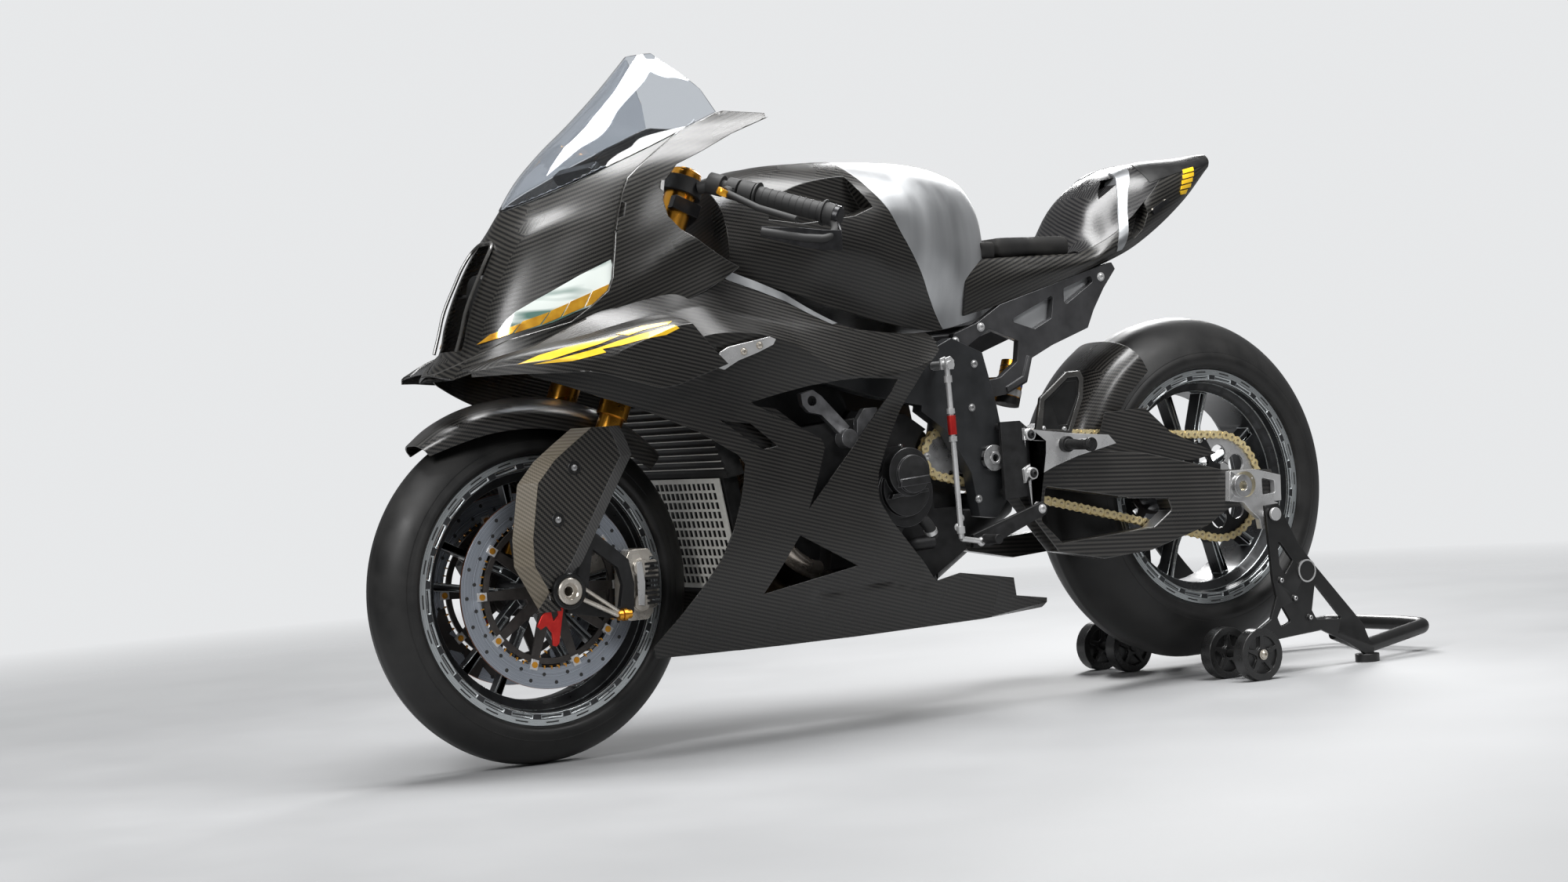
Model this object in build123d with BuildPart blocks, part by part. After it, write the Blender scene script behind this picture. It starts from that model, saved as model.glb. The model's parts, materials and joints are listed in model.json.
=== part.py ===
"""Race sport bike held on a rear paddock stand, as an assembly of separate pieces.

Units are millimetres, +Z is up, the bike faces -X and its left side is -Y.
While modelling, X is measured backwards from the front axle and Z up from the floor.
Each finished piece is moved by ORIGIN_SHIFT, so that the origin lies on the floor
under the middle of the whole part.
"""
import os
from math import atan2, cos, degrees, hypot, pi, radians, sin

from build123d import *

os.makedirs("parts", exist_ok=True)

# ---------------------------------------------------------------- driving dimensions
WHEELBASE = 1457.0
FRONT_TYRE_R, FRONT_TYRE_W = 300.0, 124.0
REAR_TYRE_R, REAR_TYRE_W = 338.0, 204.0
REAR_LIFT = 34.0  # the paddock stand holds the rear tyre this far off the floor
BEAD_R, FLANGE_R, WELL_R = 218.0, 231.0, 196.0  # 17 inch rims
FRONT_RIM_W, REAR_RIM_W = 104.0, 170.0

RAKE = 23.6  # steering axis behind the vertical
FORK_OFFSET = 29.0  # steering axis to the plane of the fork legs
FORK_HALF_SPAN = 106.0
FORK_TUBE_R, FORK_INNER_R = 27.0, 21.5

SKIN = 3.0  # carbon panels
CHAIN_PITCH, CHAIN_LINKS, CHAIN_Y = 15.875, 112, -114.0
FRONT_TEETH, REAR_TEETH = 16, 40
FRONT_SPROCKET_Z = 478.0

FRONT_AXLE_Z = FRONT_TYRE_R
REAR_AXLE_Z = REAR_TYRE_R + REAR_LIFT
SPOOL_X, SPOOL_Z, SPOOL_R = WHEELBASE + 62, REAR_AXLE_Z - 60, 8.0  # the stand lifts the bike here

STAND_REAR_X = SPOOL_X + 459  # back edge of the stand's handle
STAND_IN, STAND_OUT = 192.0, 200.0  # the stand's side plates
CASTER_X, CASTER_R, CASTER_SPAN = SPOOL_X - 101, 50.0, (STAND_IN + STAND_OUT) / 2
CASTER_OFFSET, CASTER_W = 48.0, 28.0  # twin wheels on both sides of the plate
ORIGIN_SHIFT = Location((-(STAND_REAR_X - FRONT_TYRE_R) / 2, 0, 0))
SIN_RAKE, COS_RAKE = sin(radians(RAKE)), cos(radians(RAKE))
# local z runs up the steering axis, local x to the left and local y backwards
NECK = Plane(
    origin=(FORK_OFFSET / COS_RAKE, 0, FRONT_AXLE_Z),
    x_dir=(0, -1, 0),
    z_dir=(SIN_RAKE, 0, COS_RAKE),
)
LEG_Z0 = -FORK_OFFSET * SIN_RAKE / COS_RAKE  # the front axle's height along the steering axis


# ---------------------------------------------------------------- helpers
def save(piece, name):
    """Moves a finished piece into the part's frame, labels it and writes it."""
    piece.part = piece.part.moved(ORIGIN_SHIFT)
    piece.part.label = name
    export_step(piece.part, f"parts/{name}.step")


def side(y):
    """The side view at a given y: local x is X, local y is Z, and extrusions go towards -Y."""
    return Plane.XZ.offset(-y)


def slab(outline, y_low, y_high):
    """A flat plate: an outline of (x, z) points between two y planes."""
    with BuildPart() as plate:
        with BuildSketch(side(y_high)):
            Polygon(*outline, align=None)
        extrude(amount=y_high - y_low)
    return plate.part


def rounded_slab(outline, radius, y_low, y_high):
    """A flat plate whose corners are rounded."""
    with BuildPart() as plate:
        with BuildSketch(side(y_high)) as face:
            Polygon(*outline, align=None)
            fillet(face.vertices(), radius=radius)
        extrude(amount=y_high - y_low)
    return plate.part


def band(points, thickness):
    """Closed outline of an open line, thickened on its right with mitred corners."""
    normals = []
    for (ax, ay), (bx, by) in zip(points, points[1:]):
        length = hypot(bx - ax, by - ay)
        normals.append(((by - ay) / length, -(bx - ax) / length))
    inner = []
    for i, (px, py) in enumerate(points):
        before, after = normals[max(i - 1, 0)], normals[min(i, len(normals) - 1)]
        mx, my = before[0] + after[0], before[1] + after[1]
        reach = 2 * thickness / (mx * mx + my * my)
        inner.append((px + mx * reach, py + my * reach))
    return list(points) + inner[::-1]


def panel(sections, thickness=SKIN):
    """A thin panel on the left side: each section is (x, [(half width, z), ...]) from its top edge down."""
    with BuildPart() as sheet:
        for x, row in sections:
            with BuildSketch(Plane.YZ.offset(x)):
                Polygon(*band([(-w, z) for w, z in row], -thickness), align=None)
        loft(ruled=True)
    return sheet.part


def hull(sections):
    """A solid symmetric about the middle: each section is (x, [(half width, z), ...]) from top to bottom."""
    with BuildPart() as body:
        for x, row in sections:
            right = [(w, z) for w, z in reversed(row) if w > 0]
            with BuildSketch(Plane.YZ.offset(x)):
                Polygon(*[(-w, z) for w, z in row], *right, align=None)
        loft(ruled=True)
    return body.part


def tube(points, radius, inner=0.0):
    """A round bar or pipe along straight runs joined by arcs."""
    with BuildPart() as bar:
        with BuildLine() as path:
            if len(points) == 2:
                Line(*points)
            else:
                run = min((Vector(b) - Vector(a)).length for a, b in zip(points, points[1:]))
                FilletPolyline(*points, radius=min(3 * radius, 0.4 * run))
        with BuildSketch(Plane(origin=path.line @ 0, z_dir=path.line % 0)):
            Circle(radius)
            if inner > 0:
                Circle(inner, mode=Mode.SUBTRACT)
        sweep()
    return bar.part


def drum(centre, axis, radius, length, hole=0.0):
    """A cylinder centred on a point, along an axis."""
    with BuildPart() as barrel:
        with BuildSketch(Plane(origin=centre, z_dir=axis)):
            Circle(radius)
            if hole > 0:
                Circle(hole, mode=Mode.SUBTRACT)
        extrude(amount=length / 2, both=True)
    return barrel.part


def mirrored(piece):
    """The same piece on the other side of the bike."""
    return mirror(piece, about=Plane.XZ, mode=Mode.PRIVATE)


def neck(x, y, z):
    """A point given along the steering axis, in the bike's own frame."""
    return NECK.from_local_coords(Vector(x, y, z))


# ---------------------------------------------------------------- wheels
def tyre(radius, width, rim_width, crown):
    """A slick tyre's solid: crown is a list of (share of half width, drop from the top)."""
    half = width / 2
    outer = [(share * half, radius - drop) for share, drop in crown]
    seat = rim_width / 2
    profile = [(-y, r) for y, r in reversed(outer)] + outer[1:]
    profile += [(seat - 3, FLANGE_R), (seat - 3, BEAD_R), (3 - seat, BEAD_R), (3 - seat, FLANGE_R)]
    with BuildPart() as body:
        with BuildSketch(Plane.YZ):
            Polygon(*profile, align=None)
        revolve(axis=Axis.Y)
    return body.part


def spoke_pair(stations):
    """Side view outlines of a pair of spokes: each station is (radius, middle line, half width)."""
    low = [(r, middle - half) for r, middle, half in stations]
    outline = low + [(r, middle + half) for r, middle, half in reversed(stations)]
    return outline, [(r, -t) for r, t in outline]


POCKET_DEPTH, LIP_SLOTS = 3.5, 24


def rim(rim_width, spoke, pocket, spoke_half, hub_r, hub_half, bore, face):
    """A wheel without its tyre: well, flanges, five pairs of pocketed spokes and a hub."""
    half = rim_width / 2
    with BuildPart() as wheel:
        with BuildSketch(Plane.YZ):
            well = [
                (-half, FLANGE_R), (3 - half, FLANGE_R), (3 - half, BEAD_R), (22 - half, BEAD_R),
                (36 - half, WELL_R), (half - 36, WELL_R), (half - 22, BEAD_R), (half - 3, BEAD_R),
                (half - 3, FLANGE_R), (half, FLANGE_R), (half, BEAD_R - 8), (half - 20, BEAD_R - 12),
                (half - 34, WELL_R - 7), (34 - half, WELL_R - 7), (20 - half, BEAD_R - 12),
                (-half, BEAD_R - 8),
            ]
            Polygon(*well, align=None)
        revolve(axis=Axis.Y)
        with BuildSketch(Plane.XZ.offset(-face)):
            with PolarLocations(0, 5, start_angle=18):
                for outline in spoke_pair(spoke):
                    Polygon(*outline, align=None)
        extrude(amount=spoke_half, both=True)
        for hand in (-1, 1):
            with BuildSketch(Plane.XZ.offset(hand * spoke_half - face)):
                with PolarLocations(0, 5, start_angle=18):
                    for outline in spoke_pair(pocket):
                        Polygon(*outline, align=None)
            extrude(amount=-hand * POCKET_DEPTH, mode=Mode.SUBTRACT)
            # short grooves machined round the rim's lip
            with BuildSketch(Plane.XZ.offset(hand * half)):
                with PolarLocations(BEAD_R - 3, LIP_SLOTS):
                    Rectangle(5, 40)
            extrude(amount=-hand * 1.5, mode=Mode.SUBTRACT)
        with BuildSketch(Plane.XZ):
            Circle(hub_r)
        extrude(amount=hub_half, both=True)
        with BuildSketch(Plane.XZ):
            Circle(bore)
        extrude(amount=hub_half + 1, both=True, mode=Mode.SUBTRACT)
    return wheel.part


def around(x, z, outline):
    """An outline given from a point such as an axle, in the bike's own frame."""
    return [(x + dx, z + dz) for dx, dz in outline]


def placed(piece, x, z):
    """A piece made on the origin, moved to a wheel's axle."""
    return piece.moved(Location((x, 0, z)))


CROWN = [(0.0, 0.0), (0.28, 3.5), (0.56, 15.0), (0.82, 33.0), (1.0, 55.0)]
AXLE_R = 12.5
with BuildPart() as front_tyre:
    add(placed(tyre(FRONT_TYRE_R, FRONT_TYRE_W, FRONT_RIM_W, CROWN), 0, FRONT_AXLE_Z))
save(front_tyre, "front_tyre")

REAR_CROWN = [(0.0, 0.0), (0.3, 5.5), (0.58, 23.0), (0.84, 50.0), (1.0, 82.0)]
with BuildPart() as rear_tyre:
    add(placed(tyre(REAR_TYRE_R, REAR_TYRE_W, REAR_RIM_W, REAR_CROWN), WHEELBASE, REAR_AXLE_Z))
save(rear_tyre, "rear_tyre")

FRONT_SPOKE = [(24, 10.5, 7.5), (60, 18, 6.5), (120, 26, 6), (192, 38, 8)]
FRONT_POCKET = [(66, 18.8, 3.6), (120, 26, 3.2), (183, 36.5, 4.8)]
with BuildPart() as front_rim:
    add(placed(rim(FRONT_RIM_W, FRONT_SPOKE, FRONT_POCKET, 11, 34, 62, AXLE_R + 1, 0), 0, FRONT_AXLE_Z))
save(front_rim, "front_rim")

REAR_SPOKE = [(30, 12.5, 9.5), (70, 19, 7.5), (118, 25, 7.5), (192, 49, 9.5)]
REAR_POCKET = [(78, 20, 4.4), (118, 25, 4.4), (183, 46, 6)]
with BuildPart() as rear_rim:
    add(placed(rim(REAR_RIM_W, REAR_SPOKE, REAR_POCKET, 16, 48, 78, 15, -20), WHEELBASE, REAR_AXLE_Z))
save(rear_rim, "rear_rim")

# ---------------------------------------------------------------- brake discs and rear drive on the wheels
FRONT_DISC_R, DISC_BAND, DISC_T, FRONT_DISC_Y = 167.0, 36.0, 6.0, 74.0
REAR_DISC_R, REAR_DISC_Y = 110.0, 92.0
REAR_HUB_HALF = 78.0
ROLLER_R = 5.1


def brake_disc(outer, width, thickness, y, centre_r, arms, hole_count):
    """A floating disc: a ring with two staggered rows of holes, bobbins, and a carrier of tapered arms."""
    inner = outer - width
    with BuildPart() as rotor:
        with BuildSketch(side(y)):
            Circle(outer)
            Circle(inner, mode=Mode.SUBTRACT)
            for share, start in ((0.3, 0), (0.68, 180 / hole_count)):
                with PolarLocations(outer - share * width, hole_count, start_angle=start):
                    Circle(3.2, mode=Mode.SUBTRACT)
        extrude(amount=thickness / 2, both=True)
        with BuildSketch(side(y)):
            Circle(inner - 6)
            Circle(inner - 16, mode=Mode.SUBTRACT)
            Circle(centre_r + 14)
            Circle(centre_r, mode=Mode.SUBTRACT)
            with PolarLocations(0, arms):
                Polygon((centre_r + 4, -11), (inner - 8, -7), (inner - 8, 7), (centre_r + 4, 11), align=None)
        extrude(amount=thickness / 2 - 0.5, both=True)
        with BuildSketch(side(y)):
            with PolarLocations(inner - 2, arms):
                RectangleRounded(18, 14, 4)
        extrude(amount=thickness / 2 + 1, both=True)
    return rotor.part


with BuildPart() as front_discs:
    for sign in (-1, 1):
        rotor = brake_disc(FRONT_DISC_R, DISC_BAND, DISC_T, sign * FRONT_DISC_Y, 33, 10, 20)
        add(placed(rotor, 0, FRONT_AXLE_Z))
        add(drum((0, sign * 66.75, FRONT_AXLE_Z), (0, 1, 0), 46, 9.5, AXLE_R + 1))
save(front_discs, "front_discs")

with BuildPart() as rear_disc:
    add(placed(brake_disc(REAR_DISC_R, 26, 5, REAR_DISC_Y, 40, 6, 14), WHEELBASE, REAR_AXLE_Z))
    add(drum((WHEELBASE, 84, REAR_AXLE_Z), (0, 1, 0), 46, 12.0, 24))
save(rear_disc, "rear_disc")


def pitch_radius(teeth):
    """Radius of a sprocket's pitch circle."""
    return CHAIN_PITCH / 2 / sin(pi / teeth)


def sprocket(teeth, thickness, bore, windows=0):
    """A chain sprocket about the Y axis: each tooth's flanks meet the rollers' round seats."""
    pitch_r = pitch_radius(teeth)
    with BuildPart() as wheel:
        with BuildSketch(Plane.XZ):
            Circle(pitch_r + 3.6)
            with PolarLocations(pitch_r, teeth):
                Circle(ROLLER_R + 0.5, mode=Mode.SUBTRACT)
            Circle(bore, mode=Mode.SUBTRACT)
            if windows:
                middle = (pitch_r + bore) / 2
                with PolarLocations(middle, windows):
                    Circle(0.8 * middle * sin(pi / windows), mode=Mode.SUBTRACT)
        extrude(amount=thickness / 2, both=True)
    return wheel.part


def chain_run():
    """Places the front sprocket so that the chain closes on whole links.

    Returns its x, the length of a straight run and the run's slope to the line of centres.
    """
    step = pitch_radius(REAR_TEETH) - pitch_radius(FRONT_TEETH)
    slope = 0.0
    for _ in range(8):
        rear_links = (pi + 2 * slope) / (2 * pi) * REAR_TEETH
        front_links = (pi - 2 * slope) / (2 * pi) * FRONT_TEETH
        run = (CHAIN_LINKS - rear_links - front_links) * CHAIN_PITCH / 2
        slope = atan2(step, run)
    centres = hypot(run, step)
    drop = REAR_AXLE_Z - FRONT_SPROCKET_Z
    return WHEELBASE - (centres**2 - drop**2) ** 0.5, run, slope


FRONT_SPROCKET_X, CHAIN_RUN, CHAIN_SLOPE = chain_run()
CHAIN_TILT = atan2(FRONT_SPROCKET_Z - REAR_AXLE_Z, WHEELBASE - FRONT_SPROCKET_X)
TANGENT = pi / 2 + CHAIN_SLOPE - CHAIN_TILT  # the angle, from +X, at which the upper run meets both sprockets


def chain_point(link, offset):
    """A point on the chain, some links along it from the rear sprocket's top, offset outwards."""
    run_links = CHAIN_RUN / CHAIN_PITCH
    front_links = (pi - 2 * CHAIN_SLOPE) / (2 * pi) * FRONT_TEETH
    rear = (WHEELBASE, REAR_AXLE_Z, pitch_radius(REAR_TEETH) + offset)
    front = (FRONT_SPROCKET_X, FRONT_SPROCKET_Z, pitch_radius(FRONT_TEETH) + offset)
    low = TANGENT + pi - 2 * CHAIN_SLOPE
    if link <= run_links:
        (cx, cz, r), angle, along = rear, TANGENT, link
        return (
            cx + r * cos(angle) - along * CHAIN_PITCH * sin(angle),
            cz + r * sin(angle) + along * CHAIN_PITCH * cos(angle),
        )
    link -= run_links
    if link <= front_links:
        cx, cz, r = front
        angle = TANGENT + 2 * pi * link / FRONT_TEETH
        return cx + r * cos(angle), cz + r * sin(angle)
    link -= front_links
    if link <= run_links:
        cx, cz, r = front
        return (
            cx + r * cos(low) - link * CHAIN_PITCH * sin(low),
            cz + r * sin(low) + link * CHAIN_PITCH * cos(low),
        )
    link -= run_links
    cx, cz, r = rear
    angle = low + 2 * pi * link / REAR_TEETH
    return cx + r * cos(angle), cz + r * sin(angle)


PLATE_HALF, WAIST_HALF, CHAIN_HALF_W = 7.4, 5.2, 8.2
with BuildPart() as chain:
    with BuildSketch(side(CHAIN_Y)):
        outline = [(link + part, half) for link in range(CHAIN_LINKS)
                   for part, half in ((0.0, PLATE_HALF), (0.5, WAIST_HALF))]
        Polygon(*[chain_point(at, half) for at, half in outline], align=None)
        Polygon(*[chain_point(at, -half) for at, half in outline], align=None, mode=Mode.SUBTRACT)
    extrude(amount=CHAIN_HALF_W, both=True)
    wheels = (REAR_TEETH, WHEELBASE, REAR_AXLE_Z), (FRONT_TEETH, FRONT_SPROCKET_X, FRONT_SPROCKET_Z)
    for teeth, x, z in wheels:
        groove = drum((x, CHAIN_Y, z), (0, 1, 0), pitch_radius(teeth) + 5.0, 7.6)
        add(groove, mode=Mode.SUBTRACT)
save(chain, "chain")

with BuildPart() as rear_sprocket:
    turned = sprocket(REAR_TEETH, 6.0, 24, 8).rotate(Axis.Y, -degrees(TANGENT))
    add(placed(turned, WHEELBASE, REAR_AXLE_Z).moved(Location((0, CHAIN_Y, 0))))
    add(drum((WHEELBASE, (CHAIN_Y + 2 - REAR_HUB_HALF) / 2, REAR_AXLE_Z), (0, 1, 0), 46,
             -REAR_HUB_HALF - CHAIN_Y - 2, 24))
save(rear_sprocket, "rear_sprocket")

with BuildPart() as front_sprocket:
    run_end = degrees(TANGENT) - 360 * (CHAIN_RUN / CHAIN_PITCH % 1) / FRONT_TEETH
    turned = sprocket(FRONT_TEETH, 6.0, 11).rotate(Axis.Y, -run_end)
    add(placed(turned, FRONT_SPROCKET_X, FRONT_SPROCKET_Z).moved(Location((0, CHAIN_Y, 0))))
    add(drum((FRONT_SPROCKET_X, -106, FRONT_SPROCKET_Z), (0, 1, 0), 18, 22.0))
save(front_sprocket, "front_sprocket")

# ---------------------------------------------------------------- steering: fork, clamps, bars
CLAMP_LOW_Z, CLAMP_TOP_Z, FORK_TOP_Z = 476.0, 690.0, 752.0  # along the steering axis
for sign, name in ((1, "fork_left"), (-1, "fork_right")):
    x = sign * FORK_HALF_SPAN
    with BuildPart() as fork_leg:
        add(tube([neck(x, -FORK_OFFSET, 300), neck(x, -FORK_OFFSET, FORK_TOP_Z)], FORK_TUBE_R))
        add(tube([neck(x, -FORK_OFFSET, LEG_Z0 + 30), neck(x, -FORK_OFFSET, 300)], FORK_INNER_R))
        # axle lug at the foot of the leg
        add(drum((0, -sign * FORK_HALF_SPAN, FRONT_AXLE_Z), (0, 1, 0), 27, 44, AXLE_R + 4))
        add(drum(neck(x, -FORK_OFFSET, LEG_Z0 + 36), NECK.z_dir, 25, 44))
        # caliper bracket behind the leg, with an open middle
        low, high = sorted((-sign * 112, -sign * 124))
        add(slab([(6, 262), (118, 240), (134, 252), (138, 300), (130, 342), (64, 398), (38, 384)], low, high))
        add(slab([(44, 276), (108, 262), (116, 300), (108, 330), (62, 366)], low, high), mode=Mode.SUBTRACT)
        add(drum((0, -sign * FORK_HALF_SPAN, FRONT_AXLE_Z), (0, 1, 0), AXLE_R + 4, 90), mode=Mode.SUBTRACT)
    save(fork_leg, name)

with BuildPart() as front_axle:
    add(drum((0, 0, FRONT_AXLE_Z), (0, 1, 0), AXLE_R, 2 * 146, 8))
    for sign in (-1, 1):
        add(drum((0, sign * 106, FRONT_AXLE_Z), (0, 1, 0), AXLE_R + 4, 44, 8))
        add(drum((0, sign * 138.5, FRONT_AXLE_Z), (0, 1, 0), 23, 15, 8))
save(front_axle, "front_axle")

with BuildPart() as triple_clamps:
    for level, thick in ((CLAMP_LOW_Z, 44), (CLAMP_TOP_Z, 24)):
        with BuildSketch(NECK.offset(level)):
            Polygon((-138, -52), (138, -52), (138, 2), (48, 30), (-48, 30), (-138, 2), align=None)
            with Locations((FORK_HALF_SPAN, -FORK_OFFSET), (-FORK_HALF_SPAN, -FORK_OFFSET)):
                Circle(FORK_TUBE_R, mode=Mode.SUBTRACT)
        extrude(amount=thick / 2, both=True)
    add(drum(neck(0, 0, (CLAMP_LOW_Z + CLAMP_TOP_Z) / 2), NECK.z_dir, 15, CLAMP_TOP_Z - CLAMP_LOW_Z + 60))
save(triple_clamps, "triple_clamps")

CLIP_Z = FORK_TOP_Z - 25  # the clip-ons hold the fork tubes just below their tops
GRIP_IN, GRIP_OUT = neck(225, 52.7, CLIP_Z + 7.5), neck(340, 148.9, CLIP_Z - 2.8)
for sign, name in ((1, "handlebar_left"), (-1, "handlebar_right")):
    with BuildPart() as handlebar:
        at = GRIP_IN
        along = (GRIP_OUT - at).normalized()
        root = at - along * 78
        add(drum(neck(FORK_HALF_SPAN, -FORK_OFFSET, CLIP_Z), NECK.z_dir, 36, 28, FORK_TUBE_R))
        add(tube([neck(FORK_HALF_SPAN + 36, -FORK_OFFSET + 12, CLIP_Z), root], 11))
        add(drum(root, along, 19, 26))
        add(tube([root, GRIP_OUT], 11))
        add(tube([(at + along * 4), (at + along * 126)], 16.5))
        add(drum((at + along * 140), along, 19, 20))
        # switch pod and lever perch, then the lever and its guard
        add(drum((at - along * 16), along, 21, 26))
        add(drum((at - along * 44), along, 19, 20))
        perch = at - along * 44
        add(tube([perch, (perch + Vector(-27, -12, -6))], 9))
        add(tube([(perch + Vector(-25, -12, -6)), (at + Vector(-24, -42, -26)),
                  (at + Vector(12, -104, -52))], 6))
        add(tube([(at + along * 138), (at + Vector(72, -146, -92)),
                  (at + Vector(22, -108, -84)), (at + Vector(-34, -62, -68))], 7.5))
    if sign < 0:
        handlebar.part = mirrored(handlebar.part)
    save(handlebar, name)

# ---------------------------------------------------------------- front fender, fork guards, calipers, hoses
with BuildPart() as front_fender:
    for angle, half, drop, radius in (
        (38, 40, 26, 332), (20, 74, 44, 331), (0, 82, 56, 330), (-25, 84, 60, 331), (-48, 78, 52, 334)
    ):
        plane = Plane(
            origin=(0, 0, FRONT_AXLE_Z),
            x_dir=(0, 1, 0),
            z_dir=(-cos(radians(angle)), 0, -sin(radians(angle))),
        )
        left = [(-half, radius - drop), (-half * 0.9, radius - drop * 0.45), (-half * 0.5, radius - drop * 0.1)]
        outer = left + [(0.0, radius)] + [(-y, r) for y, r in reversed(left)]
        inward = band(outer, SKIN)
        with BuildSketch(plane):
            Polygon(*[(y, r if plane.y_dir.Z > 0 else -r) for y, r in inward], align=None)
    loft(ruled=True)
    for sign in (-1, 1):
        add(drum((112, sign * 82, 560), (0, 1, 0), 9, 4.9))
save(front_fender, "front_fender")

for sign, name in ((1, "fork_guard_left"), (-1, "fork_guard_right")):
    with BuildPart() as fork_guard:
        # a faceted carbon shell ahead of the leg, from the fender's flank down past the axle
        levels = (566, -6, 128), (530, -38, 146), (400, -82, 66), (330, -82, 10), (268, -80, -34)
        for z, front, rear in levels:
            row = [(front + 22, -96), (front, -118), (front + 26, -142), (rear - 14, -142), (rear, -140)]
            with BuildSketch(Plane.XY.offset(z)):
                Polygon(*band(row, -SKIN), align=None)
        loft(ruled=True)
        add(drum((0, -140, FRONT_AXLE_Z), (0, 1, 0), 28, 40), mode=Mode.SUBTRACT)
        leg_face = -FORK_HALF_SPAN - FORK_INNER_R + 0.1
        for z in (430, 530):
            x = (z - FRONT_AXLE_Z) * SIN_RAKE / COS_RAKE - 8
            add(drum((x, (leg_face - 140) / 2, z), (0, 1, 0), 6, leg_face + 140))
    if sign < 0:
        fork_guard.part = mirrored(fork_guard.part)
    save(fork_guard, name)

CALIPER_X, CALIPER_Z = 150.0, 298.0
with BuildPart() as front_calipers:
    body = [(128, 236), (168, 236), (190, 262), (194, 330), (176, 358), (140, 358), (124, 330), (120, 262)]
    for sign in (-1, 1):
        inner, outer = sorted((sign * (FRONT_DISC_Y - 24), sign * (FRONT_DISC_Y + 38)))
        add(rounded_slab(body, 8, inner, outer))
        # bulges over the pistons, a window over the pads and cooling fins on the back
        for x, z in ((155, 266), (158, 326)):
            add(drum((x, sign * (FRONT_DISC_Y + 40), z), (0, 1, 0), 15, 8))
        add(slab([(150, 286), (196, 288), (196, 306), (150, 304)], inner, outer), mode=Mode.SUBTRACT)
        for z in (250, 266, 324, 338):
            add(slab([(178, z), (200, z), (200, z + 5), (178, z + 5)], inner, outer), mode=Mode.SUBTRACT)
        add(drum((0, sign * FRONT_DISC_Y, FRONT_AXLE_Z), (0, 1, 0), FRONT_DISC_R + 4, 13), mode=Mode.SUBTRACT)
save(front_calipers, "front_calipers")

# ---------------------------------------------------------------- nose cowl and windscreen
# each level: z, then (x, half width) from the middle round to the cowl's rear edge
NOSE_LEVELS = [
    (672, [(-166, 0), (-150, 48), (-128, 80), (-70, 130), (20, 170), (130, 192)]),
    (715, [(-128, 0), (-118, 45), (-104, 78), (-42, 135), (60, 178), (180, 196)]),
    (760, [(-112, 0), (-104, 45), (-90, 80), (-22, 140), (80, 184), (210, 202)]),
    (850, [(-70, 0), (-62, 45), (-48, 80), (20, 138), (105, 183), (264, 200)]),
    (900, [(-40, 0), (-30, 42), (-15, 78), (45, 132), (118, 178), (250, 196)]),
    (950, [(-6, 0), (15, 50), (55, 95), (95, 135), (140, 168), (230, 186)]),
    (1000, [(40, 0), (55, 48), (95, 90), (125, 118), (170, 155), (238, 178)]),
    (1050, [(95, 0), (108, 45), (145, 85), (192, 114), (235, 134), (312, 158)]),
    (1106, [(158, 0), (170, 42), (205, 80), (275, 112), (362, 130), (446, 134)]),
    (1160, [(212, 0), (222, 36), (250, 68), (285, 92), (330, 108), (380, 112)]),
    (1219, [(262, 0), (266, 14), (271, 26), (277, 36), (284, 42), (292, 46)]),
]
SCREEN_FOOT, SCREEN_HEEL = (-8, 950), (362, 1106)


def nose_shell():
    """The nose's whole skin, with the screen's surface running on from the cowl's."""
    with BuildPart() as shell:
        for z, row in NOSE_LEVELS:
            left = [(x, -w) for x, w in reversed(row)]
            right = [(x, w) for x, w in row[1:]]
            with BuildSketch(Plane.XY.offset(z)):
                Polygon(*band(left + right, SKIN), align=None)
        loft(ruled=True)
    return shell.part


NOSE_SHELL = nose_shell()
BELOW_SCREEN = [SCREEN_FOOT, SCREEN_HEEL, (452, 1104), (452, 1092), (300, 1020), (232, 985), (218, 950),
                (240, 905), (258, 873), (-99, 690), (-116, 676), (-200, 640), (-200, 950)]
ABOVE_SCREEN = [SCREEN_FOOT, SCREEN_HEEL, (345, 1150), (286, 1222), (240, 1230), (-60, 1000)]
INTAKE_HALF = 42.0
with BuildPart() as fairing_upper:
    add(NOSE_SHELL)
    add(slab(BELOW_SCREEN, -320, 320), mode=Mode.INTERSECT)
    with BuildSketch(Plane.YZ.offset(-200)):
        Polygon((-INTAKE_HALF, 716), (INTAKE_HALF, 716), (INTAKE_HALF, 850), (30, 896), (-30, 896),
                (-INTAKE_HALF, 850), align=None)
    extrude(amount=240, mode=Mode.SUBTRACT)
save(fairing_upper, "fairing_upper")

with BuildPart() as windscreen:
    add(NOSE_SHELL)
    add(slab(ABOVE_SCREEN, -320, 320), mode=Mode.INTERSECT)
save(windscreen, "windscreen")

# ---------------------------------------------------------------- side fairings, winglets, belly
# each station: x, then (half width, z) from the top edge down to the belly's seam
SIDE_STATIONS = [
    (-99, [(98, 702), (146, 690), (162, 672), (160, 600), (150, 420), (140, 260), (110, 172)]),
    (20, [(160, 752), (222, 722), (244, 686), (236, 600), (222, 420), (198, 260), (150, 172)]),
    (150, [(190, 818), (228, 752), (250, 694), (242, 600), (226, 420), (200, 260), (150, 170)]),
    (258, [(200, 873), (222, 772), (250, 688), (243, 596), (226, 420), (200, 260), (148, 168)]),
    (330, [(186, 832), (220, 760), (246, 680), (241, 590), (225, 420), (198, 260), (146, 167)]),
    (450, [(176, 790), (212, 728), (238, 662), (234, 580), (221, 420), (195, 260), (142, 166)]),
    (600, [(160, 728), (190, 702), (218, 652), (219, 570), (211, 420), (188, 260), (137, 166)]),
    (750, [(150, 704), (172, 690), (192, 648), (196, 570), (193, 420), (176, 260), (132, 168)]),
    (882, [(150, 690), (165, 676), (178, 640), (182, 570), (180, 420), (168, 260), (128, 170)]),
]
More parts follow.
